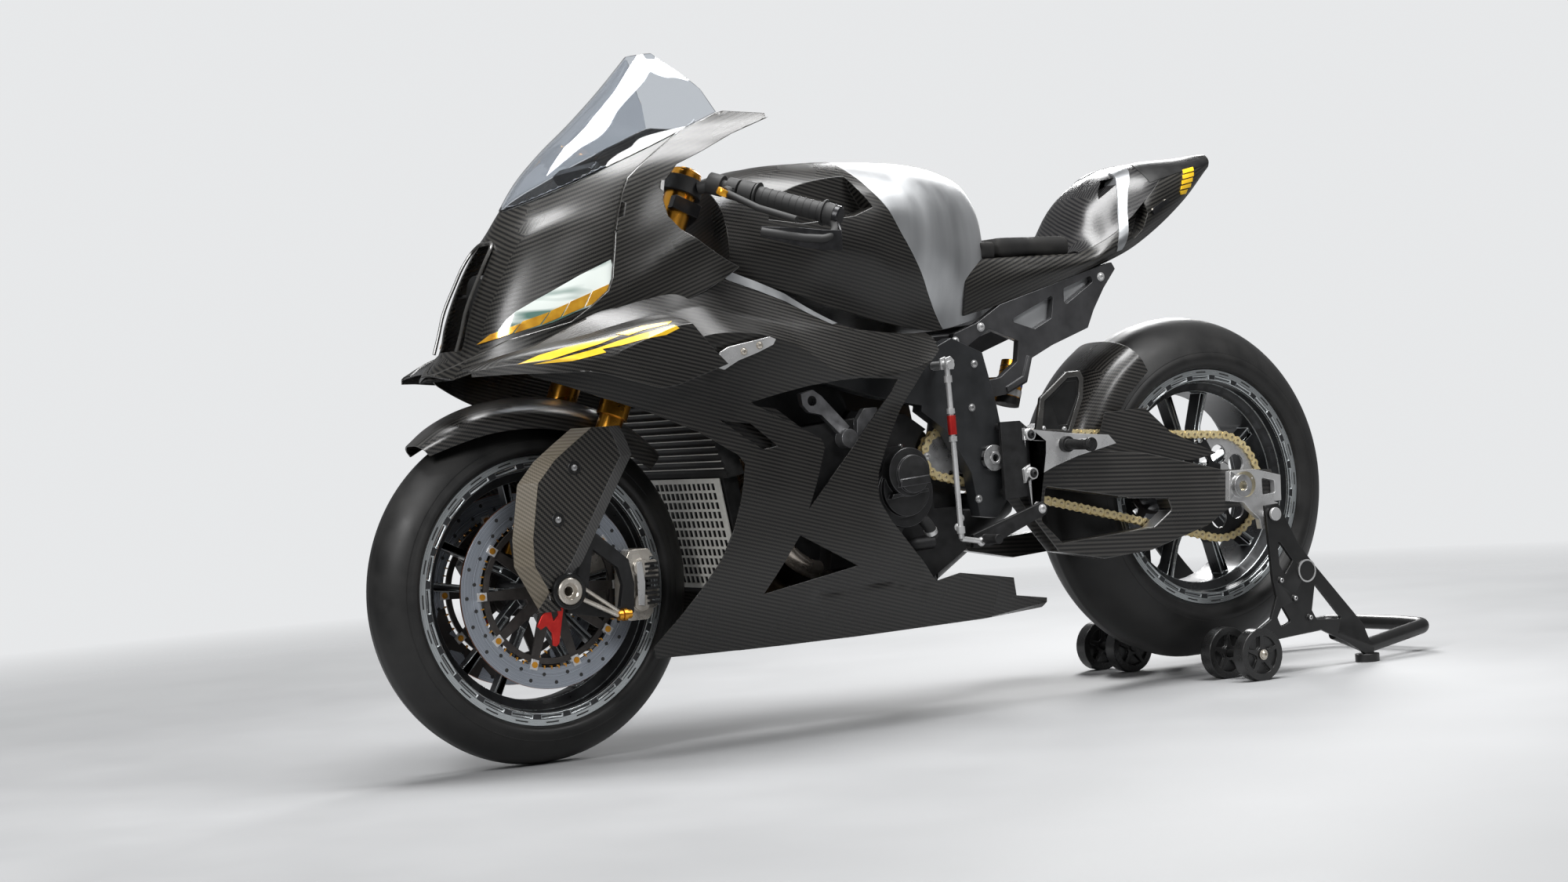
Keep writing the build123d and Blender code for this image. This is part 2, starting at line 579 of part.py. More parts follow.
SIDE_OUTLINE = [(-99, 690), (258, 873), (330, 834), (450, 792), (600, 730), (700, 702), (762, 702), (762, 668),
                (714, 632), (650, 552), (594, 456), (594, 408), (730, 252), (785, 262), (882, 247), (882, 160),
                (162, 160), (146, 190), (260, 330), (300, 420), (314, 492), (222, 552), (34, 622), (-60, 668)]
SIDE_OPENING = [(330, 596), (450, 618), (560, 626), (650, 620), (552, 510), (442, 404), (486, 516)]
LOWER_OPENING = [(422, 360), (546, 296), (350, 264)]
SLOT = [(268, 568), (330, 560), (380, 518), (352, 516)]
with BuildPart() as fairing_left:
    add(panel(SIDE_STATIONS))
    add(slab(SIDE_OUTLINE, -320, 0), mode=Mode.INTERSECT)
    for opening in (SIDE_OPENING, LOWER_OPENING, SLOT):
        add(slab(opening, -320, 0), mode=Mode.SUBTRACT)
    # stays to the frame's spar and to the crankcase
    add(drum((500, -181, 700), (0, 1, 0), 9, 66))
    add(drum((540, -186, 430), (0, 1, 0), 9, 52))
FAIRING_LEFT = fairing_left.part
save(fairing_left, "fairing_left")
with BuildPart() as fairing_right:
    add(mirrored(FAIRING_LEFT))
save(fairing_right, "fairing_right")

WING_STATIONS = [
    (-104, [(158, 692), (172, 690), (182, 680), (184, 670)]),
    (20, [(225, 722), (251, 717), (267, 704), (270, 660)]),
    (120, [(232, 746), (262, 740), (284, 726), (290, 644)]),
    (230, [(235, 752), (270, 744), (292, 728), (298, 636)]),
    (300, [(238, 724), (272, 718), (291, 708), (296, 640)]),
]
WING_OUTLINE = [(-104, 700), (-104, 664), (34, 664), (172, 624), (290, 664), (206, 752), (0, 760)]
for sign, name in ((1, "winglet_left"), (-1, "winglet_right")):
    with BuildPart() as winglet:
        add(panel(WING_STATIONS))
        add(slab(WING_OUTLINE, -320, 0), mode=Mode.INTERSECT)
        # bracket bolted to the side fairing behind the wing
        bracket = [(232, 676), (262, 686), (318, 690), (340, 700), (336, 684), (290, 664), (240, 650)]
        add(slab(bracket, -292, -286))
        add(tube([(286, -288, 676), (286, -248, 676)], 7))
        add(tube([(322, -288, 690), (322, -243.7, 690)], 7))
        add(slab([(-104, 760), (-104, 600), (300, 600), (300, 760)], -320, 0), mode=Mode.INTERSECT)
    if sign < 0:
        winglet.part = mirrored(winglet.part)
    save(winglet, name)


def seam(x):
    """The inner lower corner of the side fairing at a given x, where the belly pan's edge lies."""
    for (x0, row0), (x1, row1) in zip(SIDE_STATIONS, SIDE_STATIONS[1:]):
        if x0 <= x <= x1:
            share = (x - x0) / (x1 - x0)
            (w0, z0), (w1, z1) = [
                (a[0] + share * (b[0] - a[0]), a[1] + share * (b[1] - a[1]))
                for a, b in zip(row0[-2:], row1[-2:])
            ]
            length = hypot(w0 - w1, z0 - z1)
            return w1 - SKIN * (z0 - z1) / length, z1 + SKIN * (w0 - w1) / length


def belly_row(x, depth):
    """Half section of the belly pan, from the fairing's seam to the middle."""
    w, z = seam(x)
    return [(w, z), (0.8 * w, z - 0.6 * depth), (0.4 * w, z - depth), (0, z - depth - 1)]


with BuildPart() as belly_pan:
    add(panel([(x, belly_row(x, 8)) for x in (345, 450, 600, 750, 882)]))
    w, z = seam(882)
    rear_row = [(w + 38, z + 92)] + belly_row(882, 8)
    add(panel([(882, rear_row), (1032, [(112, 262), (100, 184), (84, 174), (44, 168), (0, 166)])]))
    mirror(about=Plane.XZ)
    steps = [(780, 263), (785, 262), (930, 240), (945, 205), (1034, 192), (1034, 300), (780, 300)]
    add(slab(steps, -200, 200), mode=Mode.SUBTRACT)
    # the exhaust leaves through the right wall
    add(slab([(850, 196), (1000, 180), (1000, 300), (850, 300)], 90, 190), mode=Mode.SUBTRACT)
save(belly_pan, "belly_pan")

# ---------------------------------------------------------------- frame, engine and what hangs on them
def beam(stations, sides=(-1, 1)):
    """Box-section beams, one for each side: each station is (x, y inside, y outside, z low, z high)."""
    with BuildPart() as pair:
        for hand in sides:
            for x, inside, outside, low, high in stations:
                with BuildSketch(Plane.YZ.offset(x)):
                    Polygon((hand * inside, low), (hand * outside, low),
                            (hand * outside, high), (hand * inside, high), align=None)
            loft(ruled=True)
    return pair.part


PIVOT_X, PIVOT_Z, PIVOT_R = 885.0, 465.0, 15.0
PLATE_IN, PLATE_OUT = 126.0, 156.0
PIVOT_PLATE = [(735, 560), (760, 668), (812, 690), (880, 660), (904, 565), (915, 500), (915, 385), (888, 354),
               (850, 360), (838, 440), (790, 520)]
with BuildPart() as main_frame:
    add(beam([(262, 24, 54, 770, 850), (330, 72, 110, 716, 808), (480, 110, 146, 640, 742),
              (640, 124, 156, 590, 692), (790, 126, 156, 560, 672)]))
    for sign in (-1, 1):
        add(slab(PIVOT_PLATE, min(sign * PLATE_IN, sign * PLATE_OUT), max(sign * PLATE_IN, sign * PLATE_OUT)))
        # post under the tank, and engine mount on the cylinder head's flank
        low, high = sorted((sign * 118, sign * 138))
        add(slab([(470, 738), (492, 733), (492, 779.5), (470, 787)], low, high))
        add(drum((560, sign * 107, 640), (0, 1, 0), 10, 22))
    add(drum(neck(0, 0, 588), NECK.z_dir, 36, 174))
    add(slab([(250, 778), (300, 776), (300, 842), (280, 850)], -54, 54))
    add(slab([(848, 322), (848, 350), (876, 392), (886, 376)], -60, 60))
    for x, z, r in ((850, 640, 22), (882, 385, 16)):
        add(drum((x, 0, z), (0, 1, 0), r, 2 * PLATE_IN + 4))
    add(drum(neck(0, 0, 595), NECK.z_dir, 15.5, 300), mode=Mode.SUBTRACT)
    add(drum((PIVOT_X, 0, PIVOT_Z), (0, 1, 0), PIVOT_R, 400), mode=Mode.SUBTRACT)
save(main_frame, "main_frame")

HEAD = [(470, 420), (392, 560), (430, 664), (545, 684), (610, 590), (640, 470)]
CASE = [(470, 330), (520, 262), (760, 250), (846, 300), (848, 350), (832, 440), (782, 520), (730, 556),
        (610, 570), (470, 420)]
CYLINDERS = [(462, 400), (404, 540), (600, 556), (640, 470), (600, 380)]
CYLINDER_HALF, EYE_Y = 152.0, -163.0
BAY_Y = -95.0
with BuildPart() as engine:
    add(slab(CASE, -112, 112))
    add(slab(HEAD, -96, 96))
    add(slab(CYLINDERS, -CYLINDER_HALF, CYLINDER_HALF))
    add(slab([(520, 290), (640, 290), (720, 400), (690, 500), (560, 500)], -150, 0))
    add(drum((FRONT_SPROCKET_X, -130 + (130 + BAY_Y) / 2, FRONT_SPROCKET_Z), (0, 1, 0), 56, 130 + BAY_Y),
        mode=Mode.SUBTRACT)
    add(slab([(780, 380), (860, 380), (860, 560), (780, 560)], -170, BAY_Y), mode=Mode.SUBTRACT)
    # seen through the left fairing: the mount's eye and arm, the pump's cap and the cam drive's cover
    add(slab([(475, 606), (502, 611), (518, 600), (574, 542), (556, 526), (516, 566), (490, 572), (478, 585)],
             EYE_Y, 2 - CYLINDER_HALF))
    add(drum((498, EYE_Y, 592), (0, 1, 0), 9, 18), mode=Mode.SUBTRACT)
    add(drum((565, EYE_Y, 521), (0, 1, 0), 17, 24))
    add(slab([(590, 552), (606, 572), (634, 573), (641, 552), (622, 516), (600, 506), (588, 522)],
             EYE_Y, 2 - CYLINDER_HALF))
    # coolant hose below the left cover
    add(tube([(690, -106, 316), (706, -142, 320), (748, -146, 322)], 13))
save(engine, "engine")

COVER_X, COVER_Z = 679.0, 453.0
with BuildPart() as engine_cover_left:
    add(drum((COVER_X + 4, -157, COVER_Z - 40), (0, 1, 0), 60, 14))
    add(drum((COVER_X + 2, -168, COVER_Z - 30), (0, 1, 0), 50, 10))
    add(drum((COVER_X, -176, COVER_Z), (0, 1, 0), 44, 24))
    add(drum((COVER_X + 6, -190, COVER_Z - 4), (0, 1, 0), 34, 6))
    # blank bar across the cover, and its lower lip
    add(slab([(COVER_X - 26, COVER_Z - 26), (COVER_X + 40, COVER_Z - 22), (COVER_X + 38, COVER_Z - 8),
              (COVER_X - 24, COVER_Z - 12)], -196, -176))
    add(slab([(COVER_X - 40, COVER_Z - 46), (COVER_X + 42, COVER_Z - 38), (COVER_X + 42, COVER_Z - 32),
              (COVER_X - 36, COVER_Z - 38)], -184, -164))
    add(slab(CYLINDERS, -CYLINDER_HALF, CYLINDER_HALF), mode=Mode.SUBTRACT)
save(engine_cover_left, "engine_cover_left")

with BuildPart() as engine_cover_right:
    add(drum((700, 131, 400), (0, 1, 0), 88, 38))
    add(drum((700, 158, 400), (0, 1, 0), 70, 16))
    add(slab(CYLINDERS, -CYLINDER_HALF, CYLINDER_HALF), mode=Mode.SUBTRACT)
save(engine_cover_right, "engine_cover_right")

UPPER_CORE = ((262, 600), (312, 468))  # the upper core's front face, from its top down
LOUVRES, LOUVRE_PITCH, LOUVRE_DEPTH = 10, 13.6, 3.0


def louvred(top, foot):
    """Outline of a sloped core from its rear top round to its rear foot, with grooves across its front."""
    (tx, tz), (fx, fz) = top, foot
    length = hypot(fx - tx, fz - tz)
    ux, uz = (fx - tx) / length, (fz - tz) / length
    front = []
    for i in range(LOUVRES):
        for along, depth in ((2, 0), (3.5, LOUVRE_DEPTH), (10, LOUVRE_DEPTH), (11.5, 0)):
            s = i * LOUVRE_PITCH + along
            front.append((tx + s * ux - depth * uz, tz + s * uz + depth * ux))
    return [(tx + 38, tz + 8), top, *front, foot, (fx + 34, fz + 6)]


GUARD_ROWS, GUARD_COLUMNS = 11, 16
with BuildPart() as radiator:
    add(slab(louvred(*UPPER_CORE), -168, 168))
    # lower core behind its stone guard, a plate of open squares
    core = Plane(origin=(312, 0, 466), x_dir=(0, -1, 0), z_dir=(-0.982, 0, -0.19))
    with BuildSketch(core):
        Polygon((-152, 3), (152, 3), (146, -150), (118, -206), (-118, -206), (-146, -150), align=None)
    extrude(amount=-28)
    with BuildSketch(core.offset(6)):
        Polygon((-150, 4), (150, 4), (144, -148), (130, -196), (-130, -196), (-144, -148), align=None)
        with Locations((0, -96)):
            with GridLocations(16.4, 17, GUARD_COLUMNS, GUARD_ROWS):
                Rectangle(12, 12.6, mode=Mode.SUBTRACT)
    extrude(amount=2)
    with BuildSketch(core):
        for x, y in ((-140, -4), (140, -4), (-134, -150), (134, -150)):
            with Locations((x, y)):
                Circle(5)
    extrude(amount=7)
    for y in (-70, 70):
        add(tube([(292, y, 572), (400, y, 572)], 6))
    add(slab(HEAD, -96, 96), mode=Mode.SUBTRACT)
save(radiator, "radiator")

with BuildPart() as exhaust:
    for y in (-132, -44, 44, 132):
        add(tube([(430, y, 500), (372, y * 0.9, 420), (396, y * 0.7, 300), (500, y * 0.35, 226)], 19))
    add(tube([(488, 0, 224), (640, 0, 212), (860, 60, 216), (936, 176, 240)], 30))
    add(tube([(930, 166, 238), (966, 218, 256)], 34))
    add(tube([(950, 216, 250), (1170, 236, 376)], 46))
    add(tube([(1168, 235.8, 375), (1186, 237.5, 385)], 30))
    add(slab(CYLINDERS, -CYLINDER_HALF, CYLINDER_HALF), mode=Mode.SUBTRACT)
    add(slab(CASE, -160, 160), mode=Mode.SUBTRACT)
save(exhaust, "exhaust")

SUB_IN, SUB_OUT = 102.0, 118.0
SUB_PLATE = [(834, 660), (846, 698), (900, 716), (956, 748), (1150, 800), (1180, 808), (1226, 819), (1234, 806),
             (1203, 770), (1176, 730), (1159, 696), (1072, 667), (1022, 645), (1007, 600), (958, 580),
             (880, 572), (876, 604), (945, 612), (987, 640), (993, 678), (928, 704), (872, 672)]
SUB_WINDOWS = [
    [(975, 717), (1082, 762), (1074, 718), (1032, 699)],
    [(1107, 773), (1174, 795), (1179, 784), (1106, 740)],
]
with BuildPart() as subframe:
    add(slab(SUB_PLATE, -SUB_OUT, -SUB_IN))
    for window in SUB_WINDOWS:
        add(rounded_slab(window, 5, -SUB_OUT, -SUB_IN), mode=Mode.SUBTRACT)
    # raised rib along the plate's foot
    rib = [(958, 584), (1003, 603), (1018, 648), (1010, 650), (996, 612), (956, 594)]
    add(slab(rib, -SUB_OUT - 4, -SUB_OUT))
    for x, z in ((888, 590), (848, 672)):
        add(drum((x, -(SUB_OUT + PLATE_IN) / 2, z), (0, 1, 0), 9, PLATE_IN - SUB_OUT))
    mirror(about=Plane.XZ)
    for x, z in ((1198, 792), (908, 706)):
        add(drum((x, 0, z), (0, 1, 0), 8, 2 * SUB_IN + 2))
save(subframe, "subframe")

# ---------------------------------------------------------------- tank, seat and tail
TANK_STATIONS = [
    (372, [(0, 985), (60, 975), (110, 930), (125, 870), (118, 826)]),
    (450, [(0, 1012), (80, 1004), (140, 950), (160, 880), (150, 794)]),
    (560, [(0, 1020), (95, 1014), (165, 960), (180, 880), (158, 756)]),
    (680, [(0, 1022), (98, 1015), (172, 955), (188, 870), (150, 724)]),
    (800, [(0, 1016), (88, 1008), (155, 945), (170, 860), (138, 706)]),
    (870, [(0, 1005), (70, 996), (125, 935), (138, 860), (116, 716)]),
    (930, [(0, 985), (50, 975), (95, 920), (108, 850), (95, 730)]),
    (952, [(0, 940), (40, 930), (80, 890), (92, 830), (86, 748)]),
]
SEAM = [(610, 1040), (626, 1000), (672, 926), (822, 690)]
TANK_HULL = hull(TANK_STATIONS)
with BuildPart() as tank_cover:
    add(TANK_HULL)
    add(slab([(360, 1040), *SEAM, (360, 690)], -200, 200), mode=Mode.INTERSECT)
save(tank_cover, "tank_cover")
with BuildPart() as fuel_tank:
    add(TANK_HULL)
    add(slab([*SEAM, (960, 690), (960, 1040)], -200, 200), mode=Mode.INTERSECT)
save(fuel_tank, "fuel_tank")

TAIL_STATIONS = [
    (956, [(0, 834), (60, 834), (112, 834), (124, 800), (116, 748)]),
    (1150, [(0, 838), (60, 838), (118, 838), (130, 818), (116, 800)]),
    (1190, [(0, 905), (62, 893), (112, 850), (130, 832), (114, 812)]),
    (1279, [(0, 992), (66, 978), (108, 915), (126, 870), (108, 842)]),
    (1340, [(0, 1012), (68, 1004), (112, 950), (118, 905), (100, 872)]),
    (1445, [(0, 1018), (66, 1016), (100, 985), (100, 960), (84, 938)]),
    (1532, [(0, 1024), (60, 1024), (64, 1016), (62, 1006), (52, 998)]),
]
HUMP = [(1150, 838), (1190, 850), (1290, 905), (1400, 1000), (1405, 1050), (1150, 1050)]
TAIL_HULL = hull(TAIL_STATIONS)
with BuildPart() as tail_unit:
    add(TAIL_HULL)
    add(slab(HUMP, -200, 200), mode=Mode.SUBTRACT)
    add(hull([(868, [(0, 834), (60, 834), (120, 834), (132, 800), (124, 730)]), TAIL_STATIONS[0]]))
    add(TANK_HULL, mode=Mode.SUBTRACT)
save(tail_unit, "tail_unit")
with BuildPart() as tail_hump:
    add(TAIL_HULL)
    add(slab(HUMP, -200, 200), mode=Mode.INTERSECT)
save(tail_hump, "tail_hump")

with BuildPart() as seat_pad:
    with BuildSketch(Plane.XY.offset(838)):
        Polygon((966, -112), (1146, -112), (1146, 112), (966, 112), align=None)
    extrude(amount=34)
    fillet(seat_pad.edges().group_by(Axis.Z)[-1], radius=10)
save(seat_pad, "seat_pad")
with BuildPart() as seat_front_pad:
    add(slab([(870, 834), (958, 834), (958, 868), (880, 868)], -118, 118))
    add(TANK_HULL, mode=Mode.SUBTRACT)
save(seat_front_pad, "seat_front_pad")

# ---------------------------------------------------------------- swingarm, rear axle, shock, hugger
ARM_IN, ARM_OUT = 126.0, 164.0
ARM_LENGTH = WHEELBASE - PIVOT_X


def arm(outline):
    """Side view points of the arm, given by their share of its length and their height over the axle."""
    return [(PIVOT_X + share * ARM_LENGTH, REAR_AXLE_Z + rise) for share, rise in outline]


ARM_TIP = around(WHEELBASE, REAR_AXLE_Z, [(97, 26), (105, -10), (97, -34), (-15, -42)])
ARM = [*arm([(0.07, 133), (0.35, 96), (0.63, 78), (0.95, 34)]), *ARM_TIP,
       *arm([(0.867, -72), (0.624, -107), (0.423, -114), (0.236, -92), (0.07, 24)])]
ARM_WINDOW = arm([(0.2, 32), (0.544, -4), (0.705, -12), (0.72, -34), (0.638, -64), (0.254, -76), (0.175, -32)])
BRACE_REAR = WHEELBASE - REAR_TYRE_R - 41  # the cross brace ends ahead of the tyre
with BuildPart() as swingarm:
    add(slab(ARM, -ARM_OUT, -ARM_IN))
    add(rounded_slab(ARM_WINDOW, 6, -ARM_OUT, -ARM_IN), mode=Mode.SUBTRACT)
    mirror(about=Plane.XZ)
    add(slab([(924, 412), (BRACE_REAR, 412), (BRACE_REAR, 478), (924, 488)], -ARM_IN, ARM_IN))
    add(slab([(885, 444), (930, 436), (930, 486), (885, 488)], -PLATE_IN + 2, PLATE_IN - 2))
    add(drum((PIVOT_X, 0, PIVOT_Z), (0, 1, 0), 26, 2 * PLATE_IN))
    add(drum((PIVOT_X, 0, PIVOT_Z), (0, 1, 0), PIVOT_R, 400), mode=Mode.SUBTRACT)
    add(drum((WHEELBASE, 0, REAR_AXLE_Z), (0, 1, 0), 15, 400), mode=Mode.SUBTRACT)
save(swingarm, "swingarm")

with BuildPart() as pivot_shaft:
    add(drum((PIVOT_X, 0, PIVOT_Z), (0, 1, 0), PIVOT_R, 2 * PLATE_OUT + 8, 9))
    for sign in (-1, 1):
        add(drum((PIVOT_X, sign * (PLATE_OUT + 5), PIVOT_Z), (0, 1, 0), 24, 10, 9))
save(pivot_shaft, "pivot_shaft")

SPOOL_END = STAND_OUT + 4
with BuildPart() as rear_axle:
    add(drum((WHEELBASE, 0, REAR_AXLE_Z), (0, 1, 0), 15, 2 * 190, 10))
    for sign in (-1, 1):
        add(drum((WHEELBASE, sign * 184, REAR_AXLE_Z), (0, 1, 0), 22, 12, 10))
        low, high = sorted((sign * ARM_OUT, sign * 178))
        # chain adjuster block over the axle, and the spool's bracket below it
        adjuster = [(-27, -28), (36, -36), (105, -36), (107, 14), (40, 30), (-21, 30)]
        bracket = [(6, -30), (22, -48), (46, -68), (50, -88), (62, -88), (94, -58), (96, -40), (70, -30)]
        for outline in (adjuster, bracket):
            add(slab(around(WHEELBASE, REAR_AXLE_Z, outline), low, high))
        slot = [(58, -22), (90, -20), (90, 4), (58, 12)]
        add(rounded_slab(around(WHEELBASE, REAR_AXLE_Z, slot), 4, low, high), mode=Mode.SUBTRACT)
        add(drum((SPOOL_X, sign * (SPOOL_END + ARM_OUT) / 2, SPOOL_Z), (0, 1, 0), SPOOL_R, SPOOL_END - ARM_OUT))
        add(drum((SPOOL_X, sign * (SPOOL_END + 2), SPOOL_Z), (0, 1, 0), SPOOL_R + 5, 6))
        add(drum((WHEELBASE, sign * (REAR_HUB_HALF + ARM_IN) / 2, REAR_AXLE_Z), (0, 1, 0), 20,
                 ARM_IN - REAR_HUB_HALF, 10))
    add(drum((WHEELBASE, 0, REAR_AXLE_Z), (0, 1, 0), 10, 400), mode=Mode.SUBTRACT)
save(rear_axle, "rear_axle")

with BuildPart() as shock_absorber:
    foot, head = Vector(972, 0, 501), Vector(905, 0, 640)
    up = (head - foot).normalized()
    add(tube([foot, head], 11))
    add(tube([foot + up * 24, foot + up * 118], 30))
    add(tube([foot + up * 118, foot + up * 146], 24))
    add(tube([(985, -76, 562), (1010, -76, 640)], 24))
    add(tube([(996, -76, 606), (930, 0, 606)], 8))
    add(drum(foot, (0, 1, 0), 16, 34))
    add(drum(head, (0, 1, 0), 16, 34))
    add(slab([(892, 628), (905, 652), (850, 662), (850, 618)], -12, 12))
    add(drum((850, 0, 640), (0, 1, 0), 22, 60), mode=Mode.SUBTRACT)
save(shock_absorber, "shock_absorber")

HUGGER_R, HUGGER_HALF = REAR_TYRE_R + 14, 103.0
HUGGER_STAY = [(-427, 109.2), (-379, 106.1), (-317, 134), (-329, 148), (-383, 128)]
CHAIN_FLAP = [*arm([(0.46, 89), (0.63, 78.1), (0.78, 57.6)]), *around(WHEELBASE, REAR_AXLE_Z, [
    (-66, 56), (-12, 66), (-124, 114), (-183, 164), (-282, 161)])]
FLAP_IN, FLAP_OUT = 128.0, 131.0
with BuildPart() as rear_hugger:
    for angle in (122, 137, 152, 167):
        reach = radians(angle)
        plane = Plane(
            origin=(WHEELBASE, 0, REAR_AXLE_Z), x_dir=(0, 1, 0), z_dir=(sin(reach), 0, -cos(reach))
        )
        drop = HUGGER_R - 76
        row = [(-HUGGER_HALF, drop), (-HUGGER_HALF, HUGGER_R - 42), (-70, HUGGER_R - 12), (0, HUGGER_R)]
        row += [(-y, r) for y, r in reversed(row[:-1])]
        facing = 1 if plane.y_dir.dot(Vector(cos(reach), 0, sin(reach))) > 0 else -1
        with BuildSketch(plane):
            Polygon(*[(y, facing * r) for y, r in band(row, SKIN)], align=None)
    loft(ruled=True)
    add(slab(around(WHEELBASE, REAR_AXLE_Z, HUGGER_STAY), -40, 40))
    # flat flap outside the chain, standing on the arm, with its stay back to the shell
    add(slab(CHAIN_FLAP, -FLAP_OUT, -FLAP_IN))
    add(drum((WHEELBASE - 242, -(HUGGER_HALF + FLAP_IN) / 2, REAR_AXLE_Z + 154), (0, 1, 0), 6,
             FLAP_IN - HUGGER_HALF + 4))
    add(drum((WHEELBASE, 0, REAR_AXLE_Z), (0, 1, 0), HUGGER_R - 24, 60), mode=Mode.SUBTRACT)
save(rear_hugger, "rear_hugger")

CALIPER_BODY = [(-127, -72), (-81, -84), (-65, -42), (-73, 20), (-117, 16)]
CALIPER_ARM = [(-73, -32), (-27, -26), (-27, 26), (-73, 8)]
with BuildPart() as rear_caliper:
    add(rounded_slab(around(WHEELBASE, REAR_AXLE_Z, CALIPER_BODY), 6, REAR_DISC_Y - 18, REAR_DISC_Y + 26))
    add(drum((WHEELBASE, REAR_DISC_Y, REAR_AXLE_Z), (0, 1, 0), REAR_DISC_R + 3, 11), mode=Mode.SUBTRACT)
    for drop in (50, 10):
        add(drum((WHEELBASE - 95, REAR_DISC_Y + 28, REAR_AXLE_Z - drop), (0, 1, 0), 14, 6))
    add(slab(around(WHEELBASE, REAR_AXLE_Z, CALIPER_ARM), REAR_DISC_Y + 18, REAR_DISC_Y + 26))
    add(drum((WHEELBASE, REAR_DISC_Y + 22, REAR_AXLE_Z), (0, 1, 0), 34, 8, 20))
save(rear_caliper, "rear_caliper")

# ---------------------------------------------------------------- rearsets, shift rod
for sign, name in ((1, "rearset_left"), (-1, "rearset_right")):
    with BuildPart() as rearset:
        # hanger on the pivot plate, and the forked bracket that carries the peg
        add(slab([(896, 386), (956, 390), (966, 416), (962, 512), (940, 530), (896, 530)], -176, -168))
        add(slab([(944, 516), (1049, 500), (1141, 491), (1158, 474), (1064, 456), (1008, 440), (940, 414),
                  (938, 440), (990, 466), (992, 488), (944, 494)], -182, -174))
        # heel guard with its raised border
        heel = [(973, 505), (988, 569), (1051, 614), (1084, 615), (1092, 601), (1087, 563), (1053, 495)]
        add(slab(heel, -178, -172))
        add(slab([(1028, 516), (1012, 566), (1052, 596), (1076, 596), (1078, 570), (1048, 516)], -178, -176),
            mode=Mode.SUBTRACT)
        for z in (520, 400):
            add(drum((904, -(PLATE_OUT + 168) / 2, z), (0, 1, 0), 8, 168 - PLATE_OUT))
        for z in (503, 431):
            add(drum((955, -184, z), (0, 1, 0), 11, 8))
        # knurled peg with its collar and end knob
        peg = [(1032, -178, 480), (1037, -262, 478)]
        add(tube(peg, 10))
        add(drum((1033, -192, 480), (0, 1, 0), 15, 12))
        add(drum((1037, -258, 478), (0, 1, 0), 13, 8))
        add(drum((965, -183, 365), (0, 1, 0), 12, 22))
        add(slab([(952, 352), (976, 352), (966, 424), (946, 424)], -182, -176))
        add(slab([(804, 306), (842, 306), (972, 354), (968, 378), (806, 330)], -194, -184))
        add(tube([(832, -190, 320), (832, -236, 320)], 9))
    if sign < 0:
        rearset.part = mirrored(rearset.part)
    save(rearset, name)

with BuildPart() as shift_rod:
    add(tube([(812, -199, 318), (775, -199, 325)], 5))
    add(tube([(775, -199, 325), (768, -199, 640)], 5))
    add(drum((768, -184, 640), (0, 1, 0), 8, 56))
save(shift_rod, "shift_rod")

# ---------------------------------------------------------------- dash, air duct
with BuildPart() as dashboard:
    with BuildSketch(Plane(origin=(160, 0, 985), x_dir=(0, 1, 0), z_dir=(0.8, 0, 0.6))):
        RectangleRounded(150, 84, 10)
    extrude(amount=18)
    stay = [(-50, 800), (252, 800), (252, 836), (170, 836), (176, 970), (150, 966), (120, 840), (-50, 826)]
    add(slab(stay, -18, 18))
    for sign in (-1, 1):
        add(tube([(-30, sign * 14, 812), (-70, sign * 60, 812)], 3))
    add(NOSE_SHELL, mode=Mode.SUBTRACT)
    add(drum(neck(0, 0, 588), NECK.z_dir, 36, 174), mode=Mode.SUBTRACT)
save(dashboard, "dashboard")

# ---------------------------------------------------------------- paddock stand
FOOT_X = SPOOL_X + 229
# side view of a plate, with x measured from the spool
STAND_PLATE = [(-19, SPOOL_Z + 18), (15, SPOOL_Z + 20), (60, 250), (97, 206), (112, 190), (197, 98), (216, 78),
               (243, 14), (222, 14), (172, 44), (105, 76), (-6, 68), (-90, 34), (-112, 38), (-112, 64),
               (-22, 108), (-4, 150), (-11, 184)]
STAND_WINDOWS = [
    [(7, 262), (18, 250), (43, 218), (20, 192), (8, 212)],
    [(96, 168), (162, 92), (96, 96), (84, 116)],
    [(-6, 110), (8, 132), (28, 100), (2, 90)],
]
with BuildPart() as stand_frame:
    for sign in (-1, 1):
        low, high = sorted((sign * STAND_IN, sign * STAND_OUT))
        add(slab(around(SPOOL_X, 0, STAND_PLATE), low, high))
        for window in STAND_WINDOWS:
            add(rounded_slab(around(SPOOL_X, 0, window), 3, low, high), mode=Mode.SUBTRACT)
        hook = drum((SPOOL_X, sign * (STAND_OUT + STAND_IN) / 2, SPOOL_Z), (0, 1, 0), SPOOL_R, 30)
        add(hook, mode=Mode.SUBTRACT)
        add(drum((CASTER_X, sign * CASTER_SPAN, CASTER_R), (0, 1, 0), 8, 2 * CASTER_OFFSET + 34))
        # blank boss and three screws on the plate's outer face
        add(drum((SPOOL_X + 74, sign * (STAND_OUT + 2), 195), (0, 1, 0), 22, 4))
        for dx, z in ((7, 182), (40, 144), (76, 103)):
            add(drum((SPOOL_X + dx, sign * (STAND_OUT + 2), z), (0, 1, 0), 7, 6))
    half_rail = [(SPOOL_X + 150, -STAND_IN + 6, 66), (FOOT_X + 6, -STAND_IN + 6, 30),
                 (STAND_REAR_X - 15, -140, 50), (STAND_REAR_X - 15, -70, 52)]
    rail = half_rail + [(x, -y, z) for x, y, z in reversed(half_rail)]
    add(tube(rail, 15))
    for sign in (-1, 1):
        add(drum((FOOT_X, sign * STAND_IN, 8), (0, 0, 1), 24, 16))
save(stand_frame, "stand_frame")

